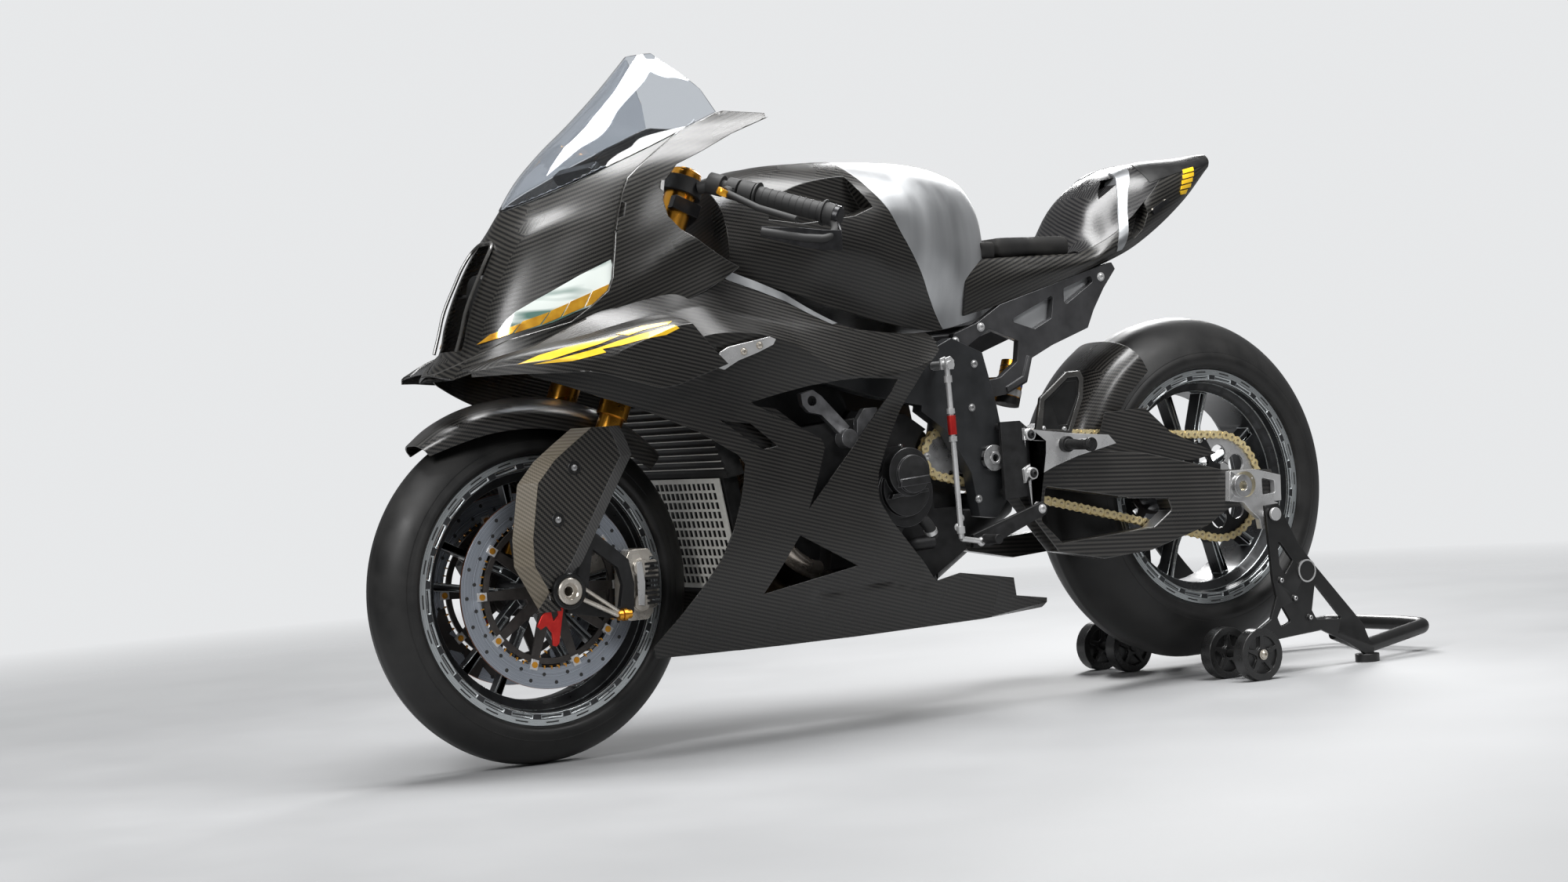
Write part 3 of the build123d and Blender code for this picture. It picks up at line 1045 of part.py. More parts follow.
for sign, name in ((1, "caster_left"), (-1, "caster_right")):
    with BuildPart() as caster:
        for y in (-CASTER_SPAN - CASTER_OFFSET, -CASTER_SPAN + CASTER_OFFSET):
            add(drum((CASTER_X, y, CASTER_R), (0, 1, 0), CASTER_R, CASTER_W, 8.3))
            # each face is dished between its five spokes
            for hand in (-1, 1):
                with BuildSketch(side(y + hand * CASTER_W / 2)) as dish:
                    with Locations((CASTER_X, CASTER_R)):
                        Circle(36)
                        Circle(15, mode=Mode.SUBTRACT)
                        with PolarLocations(0, 5, start_angle=90):
                            Polygon((12, -6), (37, -3), (37, 3), (12, 6), align=None, mode=Mode.SUBTRACT)
                extrude(amount=hand * 6, mode=Mode.SUBTRACT)
    if sign < 0:
        caster.part = mirrored(caster.part)
    save(caster, name)
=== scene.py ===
"""Race sport bike on its rear paddock stand: its finishes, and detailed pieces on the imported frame.

Lengths in the tables are millimetres in the bike's own terms: x behind the front axle, y to the
right of the middle, z above the floor. at() turns them into metres in the frame.
"""

import json
from functools import partial
from math import atan2, cos, hypot, pi, radians, sin, tau

import bmesh
import bpy
from mathutils import Matrix, Vector


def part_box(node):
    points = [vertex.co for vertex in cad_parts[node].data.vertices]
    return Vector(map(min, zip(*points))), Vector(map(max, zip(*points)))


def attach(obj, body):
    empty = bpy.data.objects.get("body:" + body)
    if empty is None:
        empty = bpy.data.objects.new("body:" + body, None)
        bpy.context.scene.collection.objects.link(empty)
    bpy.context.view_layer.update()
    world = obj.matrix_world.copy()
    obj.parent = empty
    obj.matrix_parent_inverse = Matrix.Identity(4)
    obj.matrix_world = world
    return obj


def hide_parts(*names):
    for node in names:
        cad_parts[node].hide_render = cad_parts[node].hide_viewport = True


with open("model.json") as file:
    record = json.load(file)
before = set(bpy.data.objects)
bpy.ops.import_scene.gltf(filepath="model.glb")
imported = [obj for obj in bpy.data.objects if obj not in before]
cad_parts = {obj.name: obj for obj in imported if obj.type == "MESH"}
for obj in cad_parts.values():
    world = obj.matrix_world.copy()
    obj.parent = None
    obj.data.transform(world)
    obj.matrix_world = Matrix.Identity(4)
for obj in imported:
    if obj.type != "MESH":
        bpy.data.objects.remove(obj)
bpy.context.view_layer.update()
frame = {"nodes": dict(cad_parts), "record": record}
NODES = frame["nodes"]
BODY_OF = {name: body for body, names in frame["record"]["behaviour"]["bodies"].items() for name in names}

MM = 0.001
HANDS = (-1, 1)  # left and right
ACROSS, LEFTWARD = (0, 1, 0), (0, -1, 0)
FRONT, REAR = (sum(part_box(name), Vector()) / 2 for name in ("front_rim", "rear_rim"))  # the axles


def at(x, y, z):
    """A point of the bike, from millimetres behind the front axle, off the middle and off the floor."""
    return Vector((FRONT.x + x * MM, y * MM, z * MM))


def in_mm(point):
    """A point of the frame in the bike's own millimetres."""
    return (point.x - FRONT.x) / MM, point.y / MM, point.z / MM


WHEELBASE, _, REAR_Z = in_mm(REAR)
FRONT_Z = FRONT.z / MM
FRONT_HUB, REAR_HUB = (0, 0, FRONT_Z), (WHEELBASE, 0, REAR_Z)


# ---------------------------------------------------------------- shader nodes
def node(tree, kind, inputs=None, **settings):
    """Adds a shader node; inputs are sockets to link or values to set."""
    made = tree.nodes.new("ShaderNode" + kind)
    for key, value in settings.items():
        setattr(made, key, value)
    for key, value in (inputs or {}).items():
        if isinstance(value, bpy.types.NodeSocket):
            tree.links.new(value, made.inputs[key])
        else:
            made.inputs[key].default_value = value
    return made


def calc(tree, operation, a, b=0.0):
    """The value of a Math node."""
    return node(tree, "Math", {0: a, 1: b}, operation=operation).outputs[0]


def choose(tree, factor, a, b):
    """a where factor is 0 and b where it is 1."""
    return node(tree, "Mix", {0: factor, 2: a, 3: b}).outputs[0]


def rgba(colour):
    """A colour with its alpha; a single number is a grey."""
    return (*colour, 1) if isinstance(colour, tuple) else (colour, colour, colour, 1)


def blend(tree, factor, a, b):
    """A colour between a and b."""
    return node(tree, "Mix", {0: factor, 6: rgba(a), 7: rgba(b)}, data_type="RGBA").outputs[2]


def shader(name, metallic=0.0, coat=(0.0, 0.03), specular=0.5):
    """A new material with its uniform values on the shader's own sockets."""
    mat = bpy.data.materials.new(name)
    mat.use_nodes = True
    inputs = mat.node_tree.nodes["Principled BSDF"].inputs
    inputs["Metallic"].default_value = metallic
    inputs["Coat Weight"].default_value, inputs["Coat Roughness"].default_value = coat
    inputs["Specular IOR Level"].default_value = specular
    return mat, mat.node_tree


def feed(tree, socket, value):
    """Links a value into the surface shader."""
    tree.links.new(value, tree.nodes["Principled BSDF"].inputs[socket])


def own_place(tree):
    """The surface's own coordinates."""
    return node(tree, "TexCoord").outputs["Object"]


def noise(tree, scale, detail=3.0, stretch=(1, 1, 1)):
    """Noise from 0 to 1; the scale is in waves a metre."""
    spot = node(tree, "Mapping", {"Vector": own_place(tree), "Scale": stretch}).outputs["Vector"]
    return node(tree, "TexNoise", {"Vector": spot, "Scale": scale, "Detail": detail}).outputs[0]


def ramp(tree, value, to_low=0.0, to_high=1.0, low=0.3, high=0.7):
    """Maps a stretch of values onto another, and holds it outside."""
    return node(tree, "MapRange", {0: value, 1: low, 2: high, 3: to_low, 4: to_high}).outputs[0]


def bump(tree, height, strength, distance):
    """Raises the surface by a height from 0 to 1."""
    raised = node(tree, "Bump", {"Height": height, "Strength": strength, "Distance": distance})
    feed(tree, "Normal", raised.outputs[0])


# ---------------------------------------------------------------- kinds of material
def mottled(name, dark, light, rough, scale, grain=0.0, grain_scale=1500, stretch=(1, 1, 1), **more):
    """A surface whose colour and roughness wander a little, with a fine grain."""
    mat, tree = shader(name, **more)
    wander = noise(tree, scale, 5.0, stretch)
    feed(tree, "Base Color", blend(tree, ramp(tree, wander), dark, light))
    feed(tree, "Roughness", ramp(tree, wander, *rough))
    if grain:
        bump(tree, noise(tree, grain_scale, 2.0, stretch), grain, 0.0004)
    return mat


def carbon(name, dark, light, rough, tow, turn, coat=(0.0, 0.03), specular=0.5):
    """Twill carbon: each tow passes over two and under two, one place on in the next row. The tows that run
    one way are coloured lighter than the others: the weave's real pattern, shown with a painted sheen.
    """
    mat, tree = shader(name, coat=coat, specular=specular)
    op = partial(calc, tree)
    surface_at = node(tree, "TexCoord").outputs
    x, y, z = node(tree, "SeparateXYZ", {0: surface_at["Object"]}).outputs
    facing = [op("ABSOLUTE", axis) for axis in node(tree, "SeparateXYZ", {0: surface_at["Normal"]}).outputs]
    side = op("GREATER_THAN", facing[1], 0.5)
    top = op("GREATER_THAN", facing[2], facing[0])
    across = choose(tree, op("MAXIMUM", side, top), y, x)
    up = choose(tree, side, choose(tree, top, z, y), z)
    c, s = cos(radians(turn)) / (tow * MM), sin(radians(turn)) / (tow * MM)
    u = op("ADD", op("MULTIPLY", across, c), op("MULTIPLY", up, s))
    v = op("SUBTRACT", op("MULTIPLY", up, c), op("MULTIPLY", across, s))
    step = op("ADD", op("FLOOR", u), op("FLOOR", v))
    warp = op("LESS_THAN", op("FLOORED_MODULO", step, 4.0), 2.0)
    crown = choose(tree, warp, op("SUBTRACT", op("FRACT", u), 0.5), op("SUBTRACT", op("FRACT", v), 0.5))
    wander = noise(tree, 9.0)
    # the lighter colour of these tows is a painted sheen on the weave's pattern
    warp_sheen = op("MULTIPLY", warp, ramp(tree, wander, 0.75, 1.0))
    feed(tree, "Base Color", blend(tree, warp_sheen, dark, light))
    feed(tree, "Roughness", op("ADD", ramp(tree, wander, *rough), op("MULTIPLY", warp, 0.06)))
    bump(tree, op("SUBTRACT", 0.25, op("MULTIPLY", crown, crown)), 0.35, 0.0005)
    return mat


def turned_metal(name, colour, roughness, ring, axle):
    """Machined metal with fine rings about an axle."""
    mat, tree = shader(name, metallic=0.75)
    from_axle = node(tree, "VectorMath", {0: own_place(tree), 1: axle}, operation="SUBTRACT").outputs[0]
    flat = node(tree, "VectorMath", {0: from_axle, 1: (1, 0, 1)}, operation="MULTIPLY").outputs[0]
    radius = node(tree, "VectorMath", {0: flat}, operation="LENGTH").outputs["Value"]
    rings = node(tree, "TexNoise", {"W": radius, "Scale": ring, "Detail": 2.0}, noise_dimensions="1D")
    dull = tuple(0.75 * c for c in colour)
    feed(tree, "Base Color", blend(tree, ramp(tree, rings.outputs[0]), dull, colour))
    feed(tree, "Roughness", ramp(tree, rings.outputs[0], roughness * 0.8, roughness * 1.3))
    return mat


def clear_plastic(name, colour):
    """Clear moulded plastic a few millimetres thick, faintly dusty."""
    mat, tree = shader(name)
    inputs = tree.nodes["Principled BSDF"].inputs
    inputs["Transmission Weight"].default_value, inputs["IOR"].default_value = 1.0, 1.46
    inputs["Base Color"].default_value = rgba(colour)
    feed(tree, "Roughness", ramp(tree, noise(tree, 30.0), 0.02, 0.05, 0.4, 0.8))
    return mat


def foam_rubber(name):
    """Closed cell foam: small round pits in a matt black face."""
    mat, tree = shader(name, specular=0.25)
    spot = node(tree, "Mapping", {"Vector": own_place(tree)}).outputs["Vector"]
    cells = node(tree, "TexVoronoi", {"Vector": spot, "Scale": 900.0}).outputs["Distance"]
    wander = ramp(tree, noise(tree, 18.0))
    feed(tree, "Base Color", blend(tree, wander, 0.008, (0.022, 0.021, 0.020)))
    feed(tree, "Roughness", ramp(tree, wander, 0.78, 0.92, 0.0, 1.0))
    bump(tree, cells, 0.5, 0.0006)
    return mat


def heated_titanium(name):
    """A pipe that heat has turned from straw through brown to grey."""
    mat, tree = shader(name, metallic=1.0)
    wander = noise(tree, 11.0, 4.0)
    bands = node(tree, "ValToRGB", {0: wander})
    stops = bands.color_ramp.elements
    stops[0].color, stops[1].color = (0.30, 0.24, 0.19, 1), (0.42, 0.40, 0.38, 1)
    stops.new(0.5).color = (0.46, 0.33, 0.20, 1)
    feed(tree, "Base Color", bands.outputs[0])
    feed(tree, "Roughness", ramp(tree, wander, 0.22, 0.38))
    return mat


def lamp_film(name):
    """A pale glossy film with soft dark green streaks running along the bike."""
    mat, tree = shader(name, coat=(1.0, 0.04))
    way, stretch = (0, radians(26), 0), (3.2, 1.0, 15.0)
    turned = node(tree, "Mapping", {"Vector": own_place(tree), "Rotation": way, "Scale": stretch})
    streaks = node(tree, "TexNoise", {"Vector": turned.outputs[0], "Scale": 2.6, "Detail": 1.5}).outputs[0]
    share = ramp(tree, streaks, low=0.50, high=0.66)
    feed(tree, "Base Color", blend(tree, share, (0.80, 0.86, 0.82), (0.10, 0.20, 0.17)))
    feed(tree, "Roughness", ramp(tree, noise(tree, 40.0), 0.06, 0.14))
    return mat


# ---------------------------------------------------------------- materials: dark and light colour, roughness
SATIN = carbon("satin_carbon", 0.003, (0.030, 0.028, 0.025), (0.24, 0.32), 2.3, 30, (0.2, 0.26), 0.34)
SATIN_NOSE = carbon("nose_carbon", 0.003, (0.032, 0.030, 0.026), (0.24, 0.32), 2.3, 65, (0.2, 0.26), 0.34)
GLOSSY = carbon("glossy_carbon", (0.003, 0.003, 0.004), (0.024, 0.023, 0.022), (0.24, 0.30), 2.3, 65,
                (0.35, 0.20), 0.34)
COARSE = carbon("fork_guard_carbon", 0.004, (0.062, 0.057, 0.050), (0.28, 0.34), 2.8, 0, (0.3, 0.22), 0.34)
# the fork guards' front and rear facets: bronze and grey copies of their carbon, a painted sheen
GUARD_FRONT_SHEEN = carbon("guard_front_sheen", (0.110, 0.092, 0.066), (0.200, 0.172, 0.128), (0.32, 0.40), 2.0, 0)
GUARD_REAR_SHEEN = carbon("guard_rear_sheen", 0.070, (0.140, 0.138, 0.135), (0.32, 0.40), 2.0, 0)
FENDER_CARBON = carbon("fender_carbon", 0.005, (0.046, 0.043, 0.039), (0.26, 0.34), 2.5, 32, (0.4, 0.22))
ARM_CARBON = carbon("arm_carbon", 0.005, (0.048, 0.045, 0.041), (0.26, 0.34), 2.8, 42, (0.4, 0.22))
# lighter carbon for broken edges, the intake's lip and the heel guards' borders: a painted highlight
CARBON_EDGE_HIGHLIGHT = mottled("carbon_edge_highlight", (0.030, 0.029, 0.027), (0.050, 0.048, 0.045), (0.22, 0.30), 40,
                     coat=(0.6, 0.15))

BLACK_PAINT = mottled("black_paint", 0.006, 0.011, (0.34, 0.44), 40, 0.05, specular=0.36)
CAST_BLACK = mottled("cast_black", 0.007, (0.015, 0.015, 0.016), (0.42, 0.54), 60, 0.3, 2200, specular=0.34)
GLOSS_BLACK = mottled("gloss_black", 0.005, 0.010, (0.16, 0.24), 30, 0.03)
STAND_BLACK = mottled("stand_black", 0.007, 0.013, (0.30, 0.38), 30, 0.05)
CASTER_BLACK = mottled("caster_black", 0.010, 0.020, (0.24, 0.34), 40, 0.05)
ANODISED_BLACK = mottled("black_anodised", (0.012, 0.012, 0.013), (0.022, 0.022, 0.024), (0.28, 0.36), 80,
                         metallic=0.5)
KNURLED = mottled("knurled_black", 0.010, 0.030, (0.34, 0.50), 300, 0.9, 900, metallic=0.5)
# black of the radiator core and the intake's duct, and also painted shade in the rims' slots, the discs'
# holes and the reservoir's grooves
BLACK_AND_SHADE = mottled("radiator_black", 0.010, 0.022, (0.5, 0.6), 90, 0.3)
PLASTIC = mottled("black_plastic", 0.012, 0.020, (0.42, 0.52), 50, 0.15)
RUBBER = mottled("black_rubber", 0.012, 0.020, (0.62, 0.74), 40, 0.1)
TYRE = mottled("tyre_rubber", 0.010, (0.020, 0.0195, 0.019), (0.40, 0.54), 22, 0.10, 700, specular=0.36)
FOAM = foam_rubber("foam_pad")
SCREEN = clear_plastic("screen_clear", (0.64, 0.67, 0.71))

FRAME_GREY = mottled("frame_paint", (0.014, 0.015, 0.016), (0.022, 0.023, 0.025), (0.34, 0.44), 30, 0.12,
                     specular=0.40)
SUBFRAME_GREY = mottled("subframe_grey", (0.050, 0.050, 0.052), (0.074, 0.074, 0.077), (0.34, 0.44), 30, 0.1,
                        metallic=0.5)
CAST_GREY = mottled("cast_grey", (0.20, 0.20, 0.205), (0.30, 0.30, 0.31), (0.36, 0.48), 60, 0.3, metallic=0.8)
# lighter grey on the left engine cover's broken edges: a painted highlight
COVER_EDGE_HIGHLIGHT = mottled("cover_edge_highlight", (0.05, 0.05, 0.052), (0.09, 0.09, 0.093), (0.30, 0.38), 60, metallic=0.5)
GUARD_STEEL = mottled("stone_guard", (0.70, 0.69, 0.64), (0.84, 0.83, 0.78), (0.38, 0.48), 60, metallic=0.25)
RAW_TANK = mottled("raw_aluminium", (0.44, 0.45, 0.46), (0.60, 0.61, 0.62), (0.36, 0.50), 14, 0.10, 420,
                   (1, 1, 0.06), metallic=1.0)
BRUSHED_PANEL = mottled("brushed_panel", (0.40, 0.41, 0.42), (0.52, 0.53, 0.54), (0.34, 0.44), 16, 0.08, 420,
                        (1, 1, 0.06), metallic=0.4)
SATIN_SILVER = mottled("satin_silver", (0.30, 0.31, 0.32), (0.40, 0.41, 0.42), (0.30, 0.40), 20, 0.08, 900,
                       metallic=0.9)
SILVER = mottled("bare_aluminium", 0.54, 0.68, (0.24, 0.34), 26, 0.04, metallic=0.6)
STEEL = mottled("bare_steel", 0.34, 0.50, (0.24, 0.36), 60, metallic=0.8)
NICKEL = mottled("nickel_plate", (0.52, 0.48, 0.42), (0.66, 0.62, 0.56), (0.20, 0.30), 50, metallic=0.7)
GOLD = mottled("gold_anodised", (0.62, 0.27, 0.03), (0.78, 0.37, 0.05), (0.24, 0.32), 30, metallic=1.0)
PALE_GOLD = mottled("pale_gold", (0.62, 0.55, 0.38), (0.78, 0.70, 0.50), (0.24, 0.34), 60, metallic=1.0)
CHAIN_GOLD = mottled("chain_gold", (0.84, 0.66, 0.32), (0.98, 0.84, 0.50), (0.28, 0.38), 120, metallic=0.6)
CHAIN_PIN = mottled("chain_pins", (0.42, 0.33, 0.20), (0.66, 0.56, 0.38), (0.26, 0.36), 120, metallic=1.0)
COPPER = mottled("disc_heat_edge", (0.42, 0.14, 0.05), (0.62, 0.26, 0.12), (0.28, 0.36), 60, metallic=1.0)
HEADER_STEEL = mottled("header_steel", (0.42, 0.36, 0.30), (0.66, 0.60, 0.54), (0.22, 0.34), 22, metallic=0.8)
TITANIUM = heated_titanium("exhaust_titanium")
CARRIER = mottled("disc_carrier", (0.040, 0.036, 0.034), (0.065, 0.058, 0.054), (0.36, 0.46), 60,
                  metallic=0.6)
RIM_BLACK = mottled("rim_black", (0.026, 0.027, 0.029), (0.044, 0.046, 0.049), (0.26, 0.34), 30, 0.05,
                    metallic=0.4)
# light silver on the rims' broken edges: a painted highlight
RIM_EDGE_HIGHLIGHT = mottled("rim_edge_highlight", (0.42, 0.45, 0.46), (0.56, 0.59, 0.60), (0.24, 0.32), 30, metallic=0.7)
FRONT_LIP, REAR_LIP = (turned_metal(name + "_rim_lip", (0.50, 0.53, 0.54), 0.26, 260.0, axle)
                       for name, axle in (("front", FRONT), ("rear", REAR)))
FRONT_DISC, REAR_DISC = (turned_metal(name + "_disc_face", (0.36, 0.39, 0.44), 0.32, 500.0, axle)
                         for name, axle in (("front", FRONT), ("rear", REAR)))

RED = mottled("red_anodised", (0.50, 0.02, 0.02), (0.66, 0.04, 0.03), (0.28, 0.36), 60, metallic=0.7)
ORANGE = mottled("orange_anodised", (0.80, 0.34, 0.02), (0.92, 0.46, 0.04), (0.24, 0.32), 60, metallic=0.7)
YELLOW = mottled("yellow_film", (0.85, 0.50, 0.01), (0.90, 0.56, 0.02), (0.34, 0.42), 60, coat=(0.3, 0.03))
BLUE_FILM = mottled("blue_film", (0.01, 0.03, 0.20), (0.02, 0.05, 0.30), (0.24, 0.34), 60, coat=(0.4, 0.03))
AMBER_FILM = mottled("amber_film", (0.60, 0.26, 0.01), (0.86, 0.46, 0.03), (0.10, 0.20), 60, metallic=0.4,
                     coat=(1.0, 0.05))
LAMP_FILM = lamp_film("lamp_film")


# ---------------------------------------------------------------- shapes
def curve(points, steps, sharp=()):
    """Points along a smooth line through the given ones; it bends sharply at the numbered ones."""
    points = [Vector(p) for p in points]
    gaps = [max((b - a).length, 1e-6) for a, b in zip(points, points[1:])]
    slopes = [(b - a) / gap for a, b, gap in zip(points, points[1:], gaps)]

    def lean(k, own):
        if k in (0, len(points) - 1) or k in sharp:
            return own
        return (slopes[k - 1] * gaps[k] + slopes[k] * gaps[k - 1]) / (gaps[k - 1] + gaps[k])

    line = [points[0]]
    for i, gap in enumerate(gaps):
        a, b = points[i], points[i + 1]
        m, n = lean(i, slopes[i]) * gap, lean(i + 1, slopes[i]) * gap
        for step in range(1, steps + 1):
            t = step / steps
            line.append((2 * t**3 - 3 * t**2 + 1) * a + (t**3 - 2 * t**2 + t) * m
                        + (3 * t**2 - 2 * t**3) * b + (t**3 - t**2) * n)
    return line


def patch(rows, across, along, sharp=(), sharp_rows=()):
    """A grid of points on a smooth surface through rows of points."""
    rows = [curve(row, across, sharp) for row in rows]
    columns = [curve(column, along, sharp_rows) for column in zip(*rows)]
    return list(zip(*columns))


def turns(count, start=0.0):
    """Even steps round a circle."""
    return [start + tau * k / count for k in range(count)]


def on_circle(hub, radius, turn, y=0):
    """A point at an angle round an axle, off the middle."""
    return hub[0] + cos(turn) * radius, y, hub[2] + sin(turn) * radius


def linked(name, data):
    """A new object in the scene."""
    made = bpy.data.objects.new(name, data)
    bpy.context.scene.collection.objects.link(made)
    return made


def mesh_piece(name, points, faces):
    """An object from points in the bike's millimetres."""
    mesh = bpy.data.meshes.new(name)
    mesh.from_pydata([at(*p) for p in points], [], faces)
    return linked(name, mesh)


def grid_faces(rows, columns, closed=False, ring=False):
    """The faces between a grid's points; closed joins the last column to the first, ring the last row."""
    return [(j * columns + k, j * columns + (k + 1) % columns, (j + 1) % rows * columns + (k + 1) % columns,
             (j + 1) % rows * columns + k)
            for j in range(rows if ring else rows - 1) for k in range(columns if closed else columns - 1)]


def surface(name, grid, centre):
    """An open surface whose faces look away from a point in the bike's millimetres."""
    made = mesh_piece(name, [p for row in grid for p in row], grid_faces(len(grid), len(grid[0])))
    if sum(face.normal.dot(face.center - at(*centre)) * face.area for face in made.data.polygons) < 0:
        made.data.flip_normals()
    return made


def tube(name, points, around, ring=False):
    """A closed body from loops of points: its two ends are faces, or meet in a ring."""
    count = len(points)
    ends = [] if ring else [tuple(range(around)), tuple(reversed(range(count - around, count)))]
    made = mesh_piece(name, points, ends + grid_faces(count // around, around, True, ring))
    shape = bmesh.new()
    shape.from_mesh(made.data)
    bmesh.ops.recalc_face_normals(shape, faces=shape.faces)
    shape.to_mesh(made.data)
    shape.free()
    return made


def hull_piece(name, stations, around, along):
    """A closed body, alike on both sides: stations are (x, [(half width, z), ...]), from the top down."""
    loops = []
    for x, row in stations:
        half = curve([(x, -w, z) for w, z in row], around)
        loops.append(half + [Vector((p.x, -p.y, p.z)) for p in reversed(half) if p.y < -0.01])
    columns = [curve(column, along) for column in zip(*loops)]
    return tube(name, [p for loop in zip(*columns) for p in loop], len(columns))


def prism(outline, low, high, front=False):
    """A closed block: an outline in the side or front view, between two planes across it."""
    points = [(c, a, b) if front else (a, c, b) for c in sorted((low, high)) for a, b in outline]
    return tube("cutter", points, len(outline))


def lathe(profile, centre, axis, segments=48, ring=False):
    """A turned body from (distance along its axis, radius) pairs; a ring's pairs close on themselves."""
    axis = Vector(axis).normalized()
    side = axis.orthogonal().normalized()
    spokes = [side * cos(turn) + axis.cross(side) * sin(turn) for turn in turns(segments)]
    points = [Vector(centre) + axis * a + out * r for a, r in profile for out in spokes]
    return tube("turned", points, segments, ring)


def hose(points, radius, segments, steps):
    """A round pipe or hose along a smooth line."""
    line = curve(points, steps)
    loops = []
    normal = (line[1] - line[0]).orthogonal().normalized()
    for i, p in enumerate(line):
        ahead = (line[min(i + 1, len(line) - 1)] - line[max(i - 1, 0)]).normalized()
        normal = (normal - ahead * normal.dot(ahead)).normalized()
        other = ahead.cross(normal)
        loops += [p + (normal * cos(turn) + other * sin(turn)) * radius for turn in turns(segments)]
    return tube("hose", loops, segments)


def rod(a, b, radius):
    """A straight round rod with softened ends."""
    way = Vector(b) - Vector(a)
    profile = [(0, radius * 0.5), (0.6, radius), (way.length - 0.6, radius), (way.length, radius * 0.5)]
    return lathe(profile, a, way, 16)


def band_on(base, tip, low, high, radius):
    """A thin ring round a tube, between two shares of its length."""
    way = Vector(tip) - Vector(base)
    low, high = low * way.length, high * way.length
    return lathe([(low, radius - 1), (low, radius), (high, radius), (high, radius - 1)], base, way, 40)


def bolt(place, axis, size=5.0, height=3.0):
    """A button head bolt with its socket, on a small washer."""
    washer = [(-1.0, 1.25 * size), (0.4, 1.25 * size)]
    head = [(0.4, size), (0.6 * height, 0.95 * size), (height, 0.6 * size)]
    socket = [(height, 0.46 * size), (0.35 * height, 0.44 * size)]
    return lathe(washer + head + socket, place, axis, 18)


def lug(spot, turn, half_wide, half_long, depth):
    """A short block lying round a wheel."""
    out, along = Vector((cos(turn), 0, sin(turn))), Vector((-sin(turn), 0, cos(turn)))
    corners = [Vector(spot) + out * (a * half_wide - b * b * 0.4) + along * (b * half_long)
               for a, b in ((-1, -1), (-1, 0), (-1, 1), (1, 1), (1, 0), (1, -1))]
    return tube("lug", [p + Vector((0, side * depth, 0)) for side in (-0.5, 0.5) for p in corners],
                len(corners))


def blade(points, tall, wide):
    """A flat bar that follows a line of points, with its height upright."""
    points = [Vector(p) for p in points]
    last = len(points) - 1
    corners = []
    for k, p in enumerate(points):
        along = (points[min(k + 1, last)] - points[max(k - 1, 0)]).normalized()
        side = along.cross(Vector((0, 0, 1))).normalized() * wide / 2
        up = Vector((0, 0, tall / 2 * (0.5 if k in (0, last) else 1)))
        corners += [p - side - up, p + side - up, p + side + up, p - side + up]
    return tube("blade", corners, 4)


# ---------------------------------------------------------------- changes to a piece
def baked(piece):
    """Applies a piece's modifiers."""
    seen = piece.evaluated_get(bpy.context.evaluated_depsgraph_get())
    mesh = bpy.data.meshes.new_from_object(seen)
    piece.modifiers.clear()
    piece.data = mesh
    return piece


def grown(piece, lift):
    """Moves a piece's surface outward by some millimetres."""
    normals = [v.normal.copy() for v in piece.data.vertices]
    for v, n in zip(piece.data.vertices, normals):
        v.co += n * lift * MM
    return piece


def thick(piece, inward, lift=0.0):
    """Gives an open surface a thickness, in millimetres, measured inwards from a lift off itself."""
    skin = grown(piece, lift).modifiers.new("skin", "SOLIDIFY")
    skin.thickness = inward * MM
    skin.offset = -1.0
    return baked(piece)


def carve(piece, cutter, operation="DIFFERENCE"):
    """Cuts a closed piece with another, which is then gone."""
    mod = piece.modifiers.new("cut", "BOOLEAN")
    mod.operation, mod.object, mod.solver = operation, cutter, "MANIFOLD"
    baked(piece)
    bpy.data.objects.remove(cutter)
    return piece


def within(piece, outline, reach):
    """What a closed piece has inside an outline in the side view, between two planes."""
    return carve(piece, prism(outline, *reach), "INTERSECT")


def films(skin, outlines, depth, lift, reach):
    """Thin films on a skin, which is made anew for each outline."""
    return [within(thick(skin("film"), depth, lift), outline, reach) for outline in outlines]


def mirrored(piece, name):
    """The same piece on the other side of the bike."""
    made = linked(name, piece.data.copy())
    for v in made.data.vertices:
        v.co.y = -v.co.y
    made.data.flip_normals()
    return made


def soften(piece, edge, angle, highlight_material):
    """Breaks a piece's edges, in the piece's second material if it has one for them; that material is a
    lighter colour, a painted highlight.
    """
    soft = piece.modifiers.new("edges", "BEVEL")
    soft.width, soft.segments, soft.limit_method = edge * MM, 2, "ANGLE"
    soft.angle_limit = radians(angle)
    soft.use_clamp_overlap = False
    soft.material = 1 if highlight_material else -1


def finish(piece, body, node_name):
    """Gives a piece its body and its CAD node, which takes the piece's material."""
    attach(piece, body)
    if node_name:
        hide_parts(node_name)
        NODES[node_name].data.materials.clear()
        NODES[node_name].data.materials.append(piece.data.materials[0])
    return piece


def show(piece, material, slot, body="bike", instead=None, angle=32, edge=0.0, highlight_material=None):
    """Finishes a piece: its materials, edges, shading, body and the CAD node that it stands for; the slot is
    not used.
    """
    piece.data.materials.clear()
    for own in (material, highlight_material) if highlight_material else (material,):
        piece.data.materials.append(own)
    if edge:
        soften(piece, edge, angle, highlight_material)
    piece.data.polygons.foreach_set("use_smooth", [True] * len(piece.data.polygons))
    piece.data.set_sharp_from_angle(angle=radians(angle))
    return finish(piece, body, instead)


def joined(name, pieces):
    """One object from several."""
    shape = bmesh.new()
    for piece in pieces:
        shape.from_mesh(piece.data)
        bpy.data.objects.remove(piece)
    mesh = bpy.data.meshes.new(name)
    shape.to_mesh(mesh)
    shape.free()
    return linked(name, mesh)


def group(name, pieces, *finishes, **more):
    """Joins pieces and finishes them as one, as show() does."""
    return show(joined(name, pieces), *finishes, **more)


